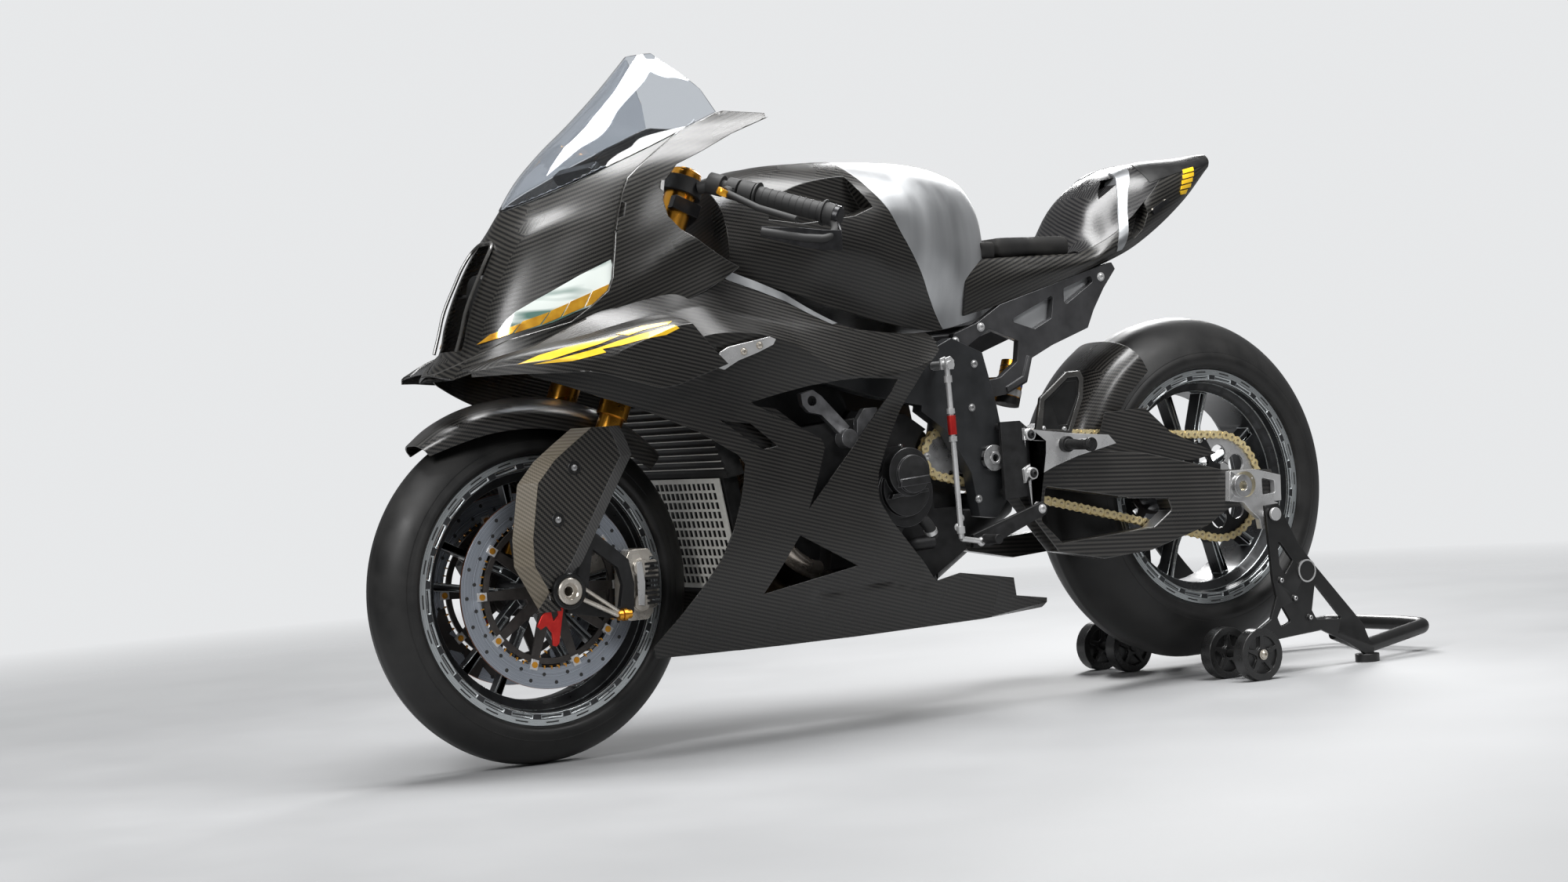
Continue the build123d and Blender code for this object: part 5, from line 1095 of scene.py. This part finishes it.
def chain():
    """The chain, with its plates, pins and rollers."""
    pins = chain_pins()
    plates, rollers = [], []
    roller = [(-8.4, 2.4), (-8.2, 2.8), (-3.9, 2.8), (-3.9, 5.0), (3.9, 5.0), (3.9, 2.8), (8.2, 2.8),
              (8.4, 2.4)]
    for k, (a, b) in enumerate(zip(pins, pins[1:] + pins[:1])):
        inside, outside = (4.0, 5.6) if k % 2 else (6.0, 7.6)
        plates += [link_plate(a, b, CHAIN_Y + hand * inside, CHAIN_Y + hand * outside) for hand in HANDS]
        rollers.append(lathe(roller, (a[0], CHAIN_Y, a[2]), ACROSS, 12))
    group("chain_plates", plates, CHAIN_GOLD, "gold_steel", instead="chain")
    group("chain_rollers", rollers, CHAIN_PIN, "gold_steel")


# ---------------------------------------------------------------- fender, fork guards, hugger
# each station: angle up from straight ahead, half width, drop of the edge, radius
FENDER_STATIONS = [(38, 40, 26, 333), (30, 60, 36, 333), (20, 74, 44, 332.5), (0, 82, 56, 332),
                   (-25, 84, 60, 332.5), (-42, 80, 54, 334), (-48, 76, 50, 335)]
# height, then the shell's front and rear edges
GUARD_LEVELS = [(572, 40, 128), (545, 0, 140), (521, -34, 148), (484, -68, 124), (392, -84, 68),
                (347, -84, 40), (268, -42, -30)]
HUGGER_TURNS = (122, 129, 137, 144, 152, 160, 167)


def arch(name, stations, hub, across, along):
    """A shell over a wheel: stations are (angle, left half of a row as (distance off the middle, radius))."""
    rows = []
    for turn, left in stations:
        row = left + [(-y, r) for y, r in reversed(left[:-1])]
        rows.append([on_circle(hub, r, radians(turn), y) for y, r in row])
    return surface(name, patch(rows, across, along), hub)


def fender():
    """The front fender's smooth arch."""
    stations = [(90 + lean, [(-half, radius - drop), (-half * 0.93, radius - drop * 0.5),
                             (-half * 0.58, radius - drop * 0.1), (0, radius)])
                for lean, half, drop, radius in FENDER_STATIONS]
    skin = thick(arch("front_fender_skin", stations, FRONT_HUB, 6, 10), 2.6)
    show(skin, FENDER_CARBON, "satin_carbon", "steering", "front_fender", edge=0.4)


def hugger():
    """The rear hugger's shell over the tyre."""
    row = [(-103, 276), (-103, 310), (-88, 331), (-62, 344), (0, 352)]
    skin = thick(arch("hugger_shell", [(turn, row) for turn in HUGGER_TURNS], REAR_HUB, 5, 4), 2.8)
    show(skin, FENDER_CARBON, "satin_carbon", edge=0.4)


def fork_guards():
    """The faceted carbon guards ahead of the fork legs; the front facet is coloured bronze and the rear facet
    a lighter grey, a painted sheen on the same carbon.
    """
    rows = [[(front + 10, -96, z), (front, -116, z), (front + 26, -142, z), (rear - 30, -142, z),
             (rear, -126, z)]
            for z, front, rear in GUARD_LEVELS]
    bends = range(1, len(GUARD_LEVELS) - 1)
    for name, first, last, material, lift, depth in (
        ("fork_guard_skin", 0, 5, COARSE, 0.0, 2.6), ("fork_guard_front", 1, 3, GUARD_FRONT_SHEEN, 0.5, 0.8),
        ("fork_guard_rear", 3, 5, GUARD_REAR_SHEEN, 0.5, 0.8),
    ):
        grid = patch([row[first:last] for row in rows], 3, 4, (1, 2, 3), bends)
        skin = thick(surface(name + "_left", grid, (20, -60, 420)), depth, lift)
        carve(skin, lathe([(-60, 28), (60, 28)], (0, -140, FRONT_Z), ACROSS, 40))
        for piece, side in ((skin, "left"), (mirrored(skin, name + "_right"), "right")):
            instead = None if lift else "fork_guard_" + side
            show(piece, material, "satin_carbon", "steering", instead, angle=20, edge=0.4)
    spots = [(x, hand * 142.5, z, hand) for x, z in ((28, 506), (-9, 421)) for hand in HANDS]
    cup = [(0, 7.5), (1.2, 8), (1.2, 11), (0, 12)]
    cups = [lathe(cup, spot, (0, hand, 0), 32, ring=True) for *spot, hand in spots]
    group("guard_cups", cups, BLACK_PAINT, "satin_carbon", "steering")
    screws = [bolt(spot, (0, hand, 0), 4.5, 2.0) for *spot, hand in spots]
    group("guard_screws", screws, STEEL, "bare_steel", "steering")


# ---------------------------------------------------------------- the rest of the bike from its CAD
def on_guard(x, y, z):
    """True in front of the lower radiator core."""
    ahead = -0.982 * (x - 312) - 0.19 * (z - 466)  # off the core's leaning plane
    return ahead > 4.5 and z < 474


def machinery():
    """CAD nodes with broken edges and zoned finishes: (name, material, edge, zones, edge material)."""
    rearset = [(lambda x, y, z: abs(y) < 177 and x < 970, CAST_BLACK),
               (lambda x, y, z: abs(y) < 178.1 and z > 497 and 965 < x < 1100, BLACK_PAINT),
               (lambda x, y, z: z < 384, CAST_BLACK), (lambda x, y, z: 940 < x < 980 and z < 426, CAST_BLACK),
               (lambda x, y, z: abs(y) > 186 and x > 1000, KNURLED)]
    fork = [(lambda x, y, z: z < 425, CAST_BLACK)]
    shock = [(lambda x, y, z: abs(y) < 40 and z < 560, CAST_BLACK),
             (lambda x, y, z: y < -50 and z < 580, SILVER)]
    for row in (
        ("main_frame", FRAME_GREY, 1.2),
        ("engine", CAST_BLACK, 0.8, [(lambda x, y, z: y < -154 and z > 500, CAST_GREY)]),
        ("engine_cover_left", CAST_BLACK, 1.0, (), COVER_EDGE_HIGHLIGHT), ("engine_cover_right", CAST_BLACK, 1.0),
        ("radiator", BLACK_AND_SHADE, 0, [(on_guard, GUARD_STEEL)]),
        ("exhaust", TITANIUM, 0, [(lambda x, y, z: x > 760 and y < 212, CAST_BLACK)]),
        ("subframe", SUBFRAME_GREY, 0.8), ("swingarm", ARM_CARBON, 1.6, (), CARBON_EDGE_HIGHLIGHT),
        ("pivot_shaft", STEEL, 0.8), ("rear_axle", SILVER, 0.8, [(close_to(REAR_HUB, 24), STEEL)]),
        ("shock_absorber", GOLD, 0.6, shock), ("rear_caliper", CAST_BLACK, 0.8),
        ("rearset_left", SILVER, 0.8, rearset), ("rearset_right", SILVER, 0.8, rearset),
        ("shift_rod", SILVER, 0.3), ("dashboard", PLASTIC, 0.8), ("front_sprocket", STEEL, 0.4),
        ("stand_frame", STAND_BLACK, 1.0), ("triple_clamps", ANODISED_BLACK, 1.0),
        ("handlebar_left", RUBBER, 0.6), ("handlebar_right", RUBBER, 0.6),
        ("fork_left", GOLD, 0.6, fork), ("fork_right", GOLD, 0.6, fork),
        ("front_axle", NICKEL, 1.0), ("front_calipers", NICKEL, 1.0, [(lambda x, y, z: x > 176, CAST_BLACK)]),
        ("belly_pan", SATIN, 0.6), ("caster_left", CASTER_BLACK, 1.2), ("caster_right", CASTER_BLACK, 1.2),
        ("rear_hugger", FENDER_CARBON, 0.5),
    ):
        dressed(*row)


# ---------------------------------------------------------------- nuts, bolts and bands at the rear
def caster_bolts():
    """Nickel bolts in the middle of the casters' axles."""
    x, _, z = in_mm(sum(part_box("caster_left"), Vector()) / 2)
    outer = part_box("stand_frame")[1].y / MM
    group("caster_bolts", [bolt((x, hand * outer, z), (0, hand, 0), 8, 5) for hand in HANDS], NICKEL,
          "bare_steel")


def side_bolts(name, y, places, material, size, height=3.0):
    """Button heads that face outward, on both sides of the bike."""
    heads = [bolt((x, hand * y, z), (0, hand, 0), size, height) for x, z in places for hand in HANDS]
    group(name, heads, material, "bare_steel")


def hex_nut(centre, hand, size, height, bore):
    """A hexagon nut with a bore, facing left or right."""
    outer = [on_circle(centre, size, turn)[::2] for turn in turns(6)]
    hole = lathe([(-height * 3, bore), (height * 3, bore)], centre, ACROSS, 24)
    return carve(prism(outer, centre[1], centre[1] + hand * height), hole)


def castle_ring(centre, hand, inner, outer, height, teeth):
    """A slotted locking ring."""
    profile = [(0, inner), (hand * height, inner), (hand * height, outer - 1), (hand * (height - 1), outer),
               (0, outer)]
    y = centre[1] + hand * height * 0.45
    return [lathe(profile, centre, ACROSS, 72, ring=True),
            *[lug(on_circle(centre, outer + 0.5, turn, y), turn, 2.2, 3.0, height * 0.8)
              for turn in turns(teeth)]]


def pivots():
    """The nuts and slotted rings of the swingarm's pivot."""
    nuts = [hex_nut((885, hand * 161, 465), hand, 13, 9, 7) for hand in HANDS]
    rings = [part for hand in HANDS for part in castle_ring((885, hand * 156.5, 465), hand, 15, 22, 9, 8)]
    group("pivot_nuts", nuts, STEEL, "bare_steel", edge=0.8)
    group("pivot_rings", rings, ANODISED_BLACK, "gloss_black")


def reservoir():
    """The shock reservoir's cap, clamp and blue band, and dark rings that paint the shade of its grooves."""
    foot, top = (985, -76, 562), (1010, -76, 640)
    for name, spans, radius, material in (
        ("reservoir_cap", [(-0.02, 0.16)], 25.0, CAST_BLACK),
        ("reservoir_clamp", [(0.18, 0.34)], 25.0, SILVER),
        ("reservoir_band", [(0.42, 0.62)], 24.3, BLUE_FILM),
        # dark rings that stand for grooves: painted shade
        ("reservoir_groove_shade", [(0.72, 0.74), (0.84, 0.86)], 24.4, BLACK_AND_SHADE),
    ):
        group(name, [band_on(foot, top, *span, radius) for span in spans], material, "gold_anodised")


def heel_guards():
    """Raised borders on the heel guards, in the lighter edge carbon that paints a highlight."""
    heel = [(973, 505), (988, 569), (1051, 614), (1084, 615), (1092, 601), (1087, 563), (1053, 495)]
    inner = [(988, 512), (997, 563), (1054, 603), (1077, 604), (1081, 597), (1077, 566), (1048, 506)]
    borders = [carve(prism(heel, hand * 177.5, hand * 180.5), prism(inner, hand * 172.5, hand * 185.5))
               for hand in HANDS]
    group("heel_guard_borders", borders, CARBON_EDGE_HIGHLIGHT, "gloss_black", edge=1.2)


def chassis_bolts():
    """Bolts of the rearsets, levers, frame plates and subframe."""
    for row in (
        ("heel_guard_bolts", 178, [(992, 512), (1040, 508)], SILVER, 4.2),
        ("hanger_bolts", 188, [(955, 503), (955, 431)], CAST_BLACK, 6.5, 4),
        ("lever_bolts", 194, [(822, 316), (965, 365)], SILVER, 7, 4),
        ("plate_bolts", 156, [(860, 640), (848, 560), (934, 420), (850, 392)], STEEL, 6),
        ("subframe_bolts", 118, [(888, 590), (848, 684), (1198, 792), (908, 708)], SILVER, 7, 4),
    ):
        side_bolts(*row)


def tail_tank_panels():
    """Bright panels under the seat."""
    panel = [(958, 706), (1010, 700), (1040, 690), (1180, 730), (1204, 790), (1186, 802), (1096, 778),
             (980, 730)]
    sheets = [prism(panel, hand * 99.5 - 1.2, hand * 99.5 + 1.2) for hand in HANDS]
    group("tail_tank_panels", sheets, BRUSHED_PANEL, "brushed_aluminium", edge=0.6)


def shift_linkage():
    """The shift rod's red sleeve, its jam nuts and the clevis at its head."""
    low, high = (775, -199, 325), (768, -199, 640)
    group("shift_rod_sleeve", [band_on(low, high, 0.60, 0.71, 8.0)], RED, "bare_steel")
    spans = [(0.03, 0.07), (0.56, 0.59), (0.72, 0.75), (0.9, 0.94)]
    group("shift_rod_nuts", [band_on(low, high, *span, 7.4) for span in spans], SILVER, "bare_steel")
    clevis = [(760, 632), (776, 632), (778, 648), (770, 656), (758, 652)]
    cheeks = [prism(clevis, -209, -205), prism(clevis, -193, -189)]
    group("shift_rod_clevis", cheeks, SILVER, "bare_steel", edge=0.6)


def chain_adjusters():
    """A pale gold insert with three screws in each chain adjuster."""
    inserts, screws = [], []
    for hand in HANDS:
        centre = (WHEELBASE + 14, hand * 178.5, REAR_Z + 2)
        profile = [(-1, 25), (2.2 * hand, 25), (2.8 * hand, 23), (2.8 * hand, 16), (1.2 * hand, 15)]
        inserts.append(lathe(profile, centre, ACROSS, 40))
        screws += [bolt(on_circle(centre, 20, turn, hand * 180.6), (0, hand, 0), 2.4, 1.5)
                   for turn in turns(3, pi / 6)]
    group("adjuster_inserts", inserts, PALE_GOLD, "bare_aluminium")
    group("adjuster_screws", screws, STEEL, "bare_steel")


def stand_trim():
    """Bolts and a blank badge's ring on the stand's arms."""
    spool = WHEELBASE + 62
    side_bolts("stand_bolts", 203, [(spool + 7, 182), (spool + 40, 144), (spool + 76, 103)], SILVER, 5)
    badges = [lathe([(hand * 203.5, 19.5), (hand * 205, 19.5), (hand * 205, 22.5), (hand * 203.5, 22.5)],
                    (spool + 74, 0, 195), ACROSS, 48, ring=True) for hand in HANDS]
    group("stand_badge_rings", badges, SILVER, "bare_steel")


# ---------------------------------------------------------------- engine bay
FIN_TOP, FIN_FOOT, FIN_COUNT, FIN_PITCH = (262, 600), (312, 468), 9, 13.6
COOLANT_HOSE = [(703, -150, 382), (722, -153, 366), (740, -150, 348), (749, -144, 330)]
HEADER_BEND = [(432, -112, 392), (440, -116, 352), (458, -118, 322), (490, -117, 299), (540, -108, 284)]


def engine_details():
    """Bolts, the coolant hose and the header's bend that show through the left fairing."""
    cover = [bolt(on_circle((692, 0, 448), 52, turn, -131), LEFTWARD, 3.6, 2.4) for turn in turns(6, pi / 9)]
    group("cover_bolts", cover, STEEL, "bare_steel")
    spots = [(804, -160, 360), (796, -160, 344), (745, -150, 477), (956, -160, 431)]
    group("bay_bolts", [bolt(spot, LEFTWARD, 6, 3.4) for spot in spots], SILVER, "bare_steel")
    group("coolant_hose", [hose(COOLANT_HOSE, 11, 20, 6)], RUBBER, "engine_black")
    group("exhaust_header_bend", [hose(HEADER_BEND, 17, 28, 8)], HEADER_STEEL, "titanium")
    clamps = [band_on(*COOLANT_HOSE[:2], 0.1, 0.4, 12.4), band_on(*COOLANT_HOSE[2:], 0.2, 0.6, 12.4)]
    group("hose_clamps", clamps, SILVER, "bare_steel")


def radiator_fins():
    """Bright edges on the fins across the upper core."""
    (x, z), way = FIN_TOP, Vector(FIN_FOOT) - Vector(FIN_TOP)
    ux, uz = way.normalized()
    strips = []
    for k in range(FIN_COUNT):
        s = (k + 1) * FIN_PITCH
        corners = [(s - 1.3, -0.4), (s + 0.7, -0.4), (s + 0.4, 1.6), (s - 0.9, 1.6)]
        strips.append(prism([(x + a * ux + d * uz, z + a * uz - d * ux) for a, d in corners], -167, 167))
    group("radiator_fins", strips, GUARD_STEEL, "bare_steel")


# ---------------------------------------------------------------- front of the bike
def axle_ends():
    """Black rings and bright tube ends on the front axle: (distance off the middle, radius)."""
    ring = [(141, 23), (149, 23), (150.5, 25), (150.5, 29), (149, 31), (141, 31)]
    end = [(143, 13), (152, 13), (153.5, 14.5), (153.5, 20.5), (152, 22.4), (143, 22.4)]
    for name, profile, material, slot in (("axle_rings", ring, GLOSS_BLACK, "gloss_black"),
                                          ("axle_ends", end, NICKEL, "bare_steel")):
        rings = [lathe([(hand * a, r) for a, r in profile], FRONT_HUB, ACROSS, 64, ring=True)
                 for hand in HANDS]
        group(name, rings, material, slot, "steering")


def axle_struts():
    """Struts with gold collars behind the axle, and the red stops below it."""
    stop = [(-26, 288), (-12, 292), (-8, 280), (-12, 262), (-22, 214), (-28, 209), (-34, 212), (-34, 232),
            (-44, 246), (-54, 240), (-61, 246), (-52, 262), (-38, 276)]
    window = [(-34, 270), (-22, 274), (-20, 262), (-30, 252)]
    struts, collars, stops = [], [], []
    for hand in HANDS:
        struts += [rod((x, hand * 140, z), (far, hand * 136, low), radius)
                   for x, z, far, low, radius in ((12, 292, 96, 250, 4.2), (20, 310, 98, 256, 3.4))]
        for k, r in ((0, 9.5), (11, 11), (22, 8)):
            centre = (100 + k * 0.9, hand * (134 - 0.2 * k), 250)
            collars.append(lathe([(-5, r - 3), (-3.5, r), (3.5, r), (5, r - 3)], centre, (1, 0, 0), 24))
        stops.append(carve(prism(stop, hand * 139 - 2.5, hand * 139 + 2.5), prism(window, -200, 200)))
    group("axle_struts", struts, NICKEL, "bare_steel", "steering")
    group("strut_collars", collars, GOLD, "gold_anodised", "steering")
    group("red_stops", stops, RED, "gloss_black", "steering", edge=0.8)


def caliper_trim():
    """Cooling fins and blank plates on the front calipers."""
    levels = [262 + k * 8.4 for k in range(9)]
    fins = [prism([(164, z), (189, z), (189, z + 4.4), (164, z + 4.4)], hand * 114, hand * 120)
            for hand in HANDS for z in levels]
    blank = [(146, 262), (158, 260), (162, 300), (158, 336), (148, 336)]
    blanks = [prism(blank, hand * 118 - 1.4, hand * 118 + 1.4) for hand in HANDS]
    group("caliper_fins", fins, CAST_BLACK, "gloss_black", "steering")
    group("caliper_blanks", blanks, SILVER, "bare_aluminium", "steering", edge=0.6)


# ---------------------------------------------------------------- cockpit
RAKE_TURN, LEG_OFFSET = radians(23.6), 29.0
GRIP_IN, GRIP_OUT = (225, 52.7, 734.5), (340, 148.9, 724.2)
GRIP_LENGTH = 128
LEVER_GUARD = [(72, 146, -92), (50, 128, -90), (22, 108, -84), (-34, 62, -68)]
# turned profiles: (distance along the axis, radius)
FLANGE, GRIP_RING = [(0, 10), (0, 23), (3.0, 23), (3.0, 10)], [(0, 16), (0.4, 17.1), (3.6, 17.1), (4, 16)]
ADJUSTER = [(-6, 3), (-6, 10), (-4, 11), (4, 11), (6, 10), (6, 3)]
BAR_END = [(0, 15), (1.5, 18), (12, 18), (14, 15), (14, 7)]
FORK_CAP = [(-2, 26.5), (3, 26.5), (5, 24), (5, 16), (9, 15), (10, 8)]


def neck(x, y, z):
    """A point given along the steering axis: across to the left, forward of it, and up it."""
    return Vector((LEG_OFFSET / cos(RAKE_TURN) + y * cos(RAKE_TURN) + z * sin(RAKE_TURN), -x,
                   FRONT_Z - y * sin(RAKE_TURN) + z * cos(RAKE_TURN)))


def cockpit():
    """Grip flanges and rings, lever guards, adjusters, bar ends and the fork's gold caps."""
    rings, adjusters, caps, ends, guards = [], [], [], [], []
    up = (neck(0, 0, 1) - neck(0, 0, 0)).normalized()
    for hand in HANDS:
        inner, outer = (neck(-hand * x, y, z) for x, y, z in (GRIP_IN, GRIP_OUT))
        along = (outer - inner).normalized()
        tip = inner + along * 146
        rings += [lathe(FLANGE, inner + along * s, along, 32) for s in (0, GRIP_LENGTH)]
        rings += [lathe(GRIP_RING, inner + along * (12 + k * 13), along, 32) for k in range(9)]
        spot = inner - along * 44 + Vector((-30, hand * 12, -6))
        adjusters.append(lathe(ADJUSTER, spot, (0.3, hand * 0.4, 0.86), 12))
        guards.append(blade([tip + Vector((6, hand * -4, -4)),
                             *[inner + Vector((x, hand * y, z)) for x, y, z in LEVER_GUARD]], 34, 4))
        ends.append(lathe(BAR_END, tip, along, 32))
        caps.append(lathe(FORK_CAP, neck(106 * hand, -29, 752), up, 40))
    for name, parts, material, slot, edge in (
        ("lever_guards", guards, ANODISED_BLACK, "gloss_black", 0.8),
        ("fork_caps", caps, GOLD, "gold_anodised", 0), ("grip_rings", rings, RUBBER, "black_rubber", 0),
        ("lever_adjusters", adjusters, ORANGE, "gloss_black", 0),
        ("bar_ends", ends, ANODISED_BLACK, "gloss_black", 0),
    ):
        group(name, parts, material, slot, "steering", edge=edge)


# ---------------------------------------------------------------- foam pads
PUFF_LIMIT, PUFF_FRAMES, PAD_ROOM = 0.006, 20, 0.002  # metres, and frames of the cloth's run


def puffed(made):
    """Blows a pad up a little as cloth, by no more than a limit."""
    start = [v.co.copy() for v in made.data.vertices]
    cloth = made.modifiers.new("cloth", "CLOTH")
    cloth.settings.use_pressure = True
    cloth.settings.uniform_pressure_force = 4.0
    cloth.settings.effector_weights.gravity = 0.0
    cloth.point_cache.frame_start, cloth.point_cache.frame_end = 1, PUFF_FRAMES
    for frame_number in range(1, PUFF_FRAMES + 1):
        bpy.context.scene.frame_set(frame_number)
    baked(made)
    bpy.context.scene.frame_set(1)
    for v, was in zip(made.data.vertices, start):
        move = v.co - was
        if move.length > PUFF_LIMIT:
            v.co = was + move.normalized() * PUFF_LIMIT


def pad(name):
    """A foam pad: its CAD block remeshed, puffed, and kept inside its place."""
    made = linked(name + "_foam", NODES[name].data.copy())
    centre = sum((v.co for v in made.data.vertices), Vector()) / len(made.data.vertices)
    for v in made.data.vertices:
        v.co = centre + (v.co - centre) * 0.97 - Vector((0, 0, 0.0005))
    grid = made.modifiers.new("grid", "REMESH")
    grid.mode, grid.voxel_size = "VOXEL", 0.005
    baked(made)
    puffed(made)
    smooth = made.modifiers.new("smooth", "SMOOTH")
    smooth.iterations, smooth.factor = 6, 0.5
    finer = made.modifiers.new("finer", "SUBSURF")
    finer.levels = finer.render_levels = 1
    baked(made)
    low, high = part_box(name)
    for v in made.data.vertices:
        v.co = Vector(max(a - PAD_ROOM, min(b + PAD_ROOM, c)) for a, b, c in zip(low, high, v.co))
    show(made, FOAM, "foam", instead=name, angle=60)


# ---------------------------------------------------------------- the whole bike
for make in (nose, intake, screen, side_fairings, winglets, lamp_stickers, tank, tail, flank_marks, wheels,
             chain, fender, fork_guards, hugger, machinery, caster_bolts, side_marks, pivots, reservoir,
             heel_guards, chassis_bolts, tail_tank_panels, shift_linkage, chain_adjusters, stand_trim,
             engine_details, radiator_fins, axle_ends, axle_struts, caliper_trim, cockpit):
    make()
for pad_name in ("seat_pad", "seat_front_pad"):
    pad(pad_name)


# ---------------------------------------------------------------- camera, floor and light
def camera():
    """Looks from the photographer's place: yaw from +Y towards +X, pitch and roll in radians."""
    yaw, pitch, roll = 0.5559, -0.0112, -0.0681
    ahead = Vector((sin(yaw) * cos(pitch), cos(yaw) * cos(pitch), sin(pitch)))
    right = Vector((cos(yaw), -sin(yaw), 0))
    up = right.cross(ahead)
    right, up = cos(roll) * right + sin(roll) * up, cos(roll) * up - sin(roll) * right
    data = bpy.data.cameras.new("camera")
    data.lens, data.sensor_width = 64.65, 36.0
    eye = linked("camera", data)
    turn = Matrix((right, up, -ahead)).transposed().to_4x4()
    eye.matrix_world = Matrix.Translation(at(-2173.9, -4360.7, 580.2)) @ turn
    bpy.context.scene.camera = eye


def softbox(name, centre, aim, width, height, power):
    """A soft lamp over the bike; its place, aim and size are in metres."""
    data = bpy.data.lights.new(name, "AREA")
    data.shape = "RECTANGLE"
    data.size, data.size_y, data.energy = width, height, power
    way = (Vector(aim) - Vector(centre)).to_track_quat("-Z", "Y")
    linked(name, data).matrix_world = Matrix.Translation(centre) @ way.to_matrix().to_4x4()


def backdrop():
    """A world that is pale to the camera, to gloss and to glass, and lights the bike plainly."""
    world = bpy.data.worlds.new("studio")
    bpy.context.scene.world = world
    world.use_nodes = True
    tree = world.node_tree
    tree.nodes.clear()
    path = node(tree, "LightPath")
    seen = calc(tree, "MAXIMUM", path.outputs["Is Camera Ray"], path.outputs["Is Transmission Ray"])
    grey = (0.80, 0.81, 0.83, 1)
    light, sheen, pale = (node(tree, "Background", {"Color": colour, "Strength": strength}).outputs[0]
                          for colour, strength in ((grey, 0.13), (grey, 0.24), ((0.80, 0.81, 0.82, 1), 1.0)))
    lit = node(tree, "MixShader", {0: path.outputs["Is Glossy Ray"], 1: light, 2: sheen})
    mixed = node(tree, "MixShader", {0: seen, 1: lit.outputs[0], 2: pale})
    tree.links.new(mixed.outputs[0], tree.nodes.new("ShaderNodeOutputWorld").inputs[0])


def floor():
    """A plain pale floor that fades into the backdrop far from the bike."""
    mesh = bpy.data.meshes.new("floor")
    reach = 9.0
    mesh.from_pydata([(-reach, -reach, 0), (reach, -reach, 0), (reach, reach, 0), (-reach, reach, 0)], [],
                     [(0, 1, 2, 3)])
    ground = linked("floor", mesh)
    mat = mottled("pale_floor", (0.34, 0.344, 0.35), (0.37, 0.374, 0.38), (0.60, 0.70), 3)
    tree = mat.node_tree
    far = node(tree, "VectorMath", {0: own_place(tree)}, operation="LENGTH").outputs["Value"]
    end = next(n for n in tree.nodes if n.type == "OUTPUT_MATERIAL")
    lit, clear = end.inputs[0].links[0].from_socket, node(tree, "BsdfTransparent").outputs[0]
    mixed = node(tree, "MixShader", {0: ramp(tree, far, low=1.6, high=4.2), 1: lit, 2: clear})
    tree.links.new(mixed.outputs[0], end.inputs[0])
    ground.data.materials.append(mat)


camera()
floor()
backdrop()
softbox("overhead", (-0.2, -0.3, 2.9), (0, 0, 0.6), 3.0, 0.8, 150)
softbox("key", (-3.2, -1.6, 2.3), (-0.4, 0, 0.7), 0.7, 1.4, 70)
softbox("side", (0.9, -3.2, 3.0), (0.4, 0, 0.6), 1.6, 0.5, 45)
softbox("rim", (2.2, 2.2, 2.2), (0.2, 0, 0.6), 1.0, 1.4, 100)
bpy.context.scene.view_settings.view_transform = "Standard"
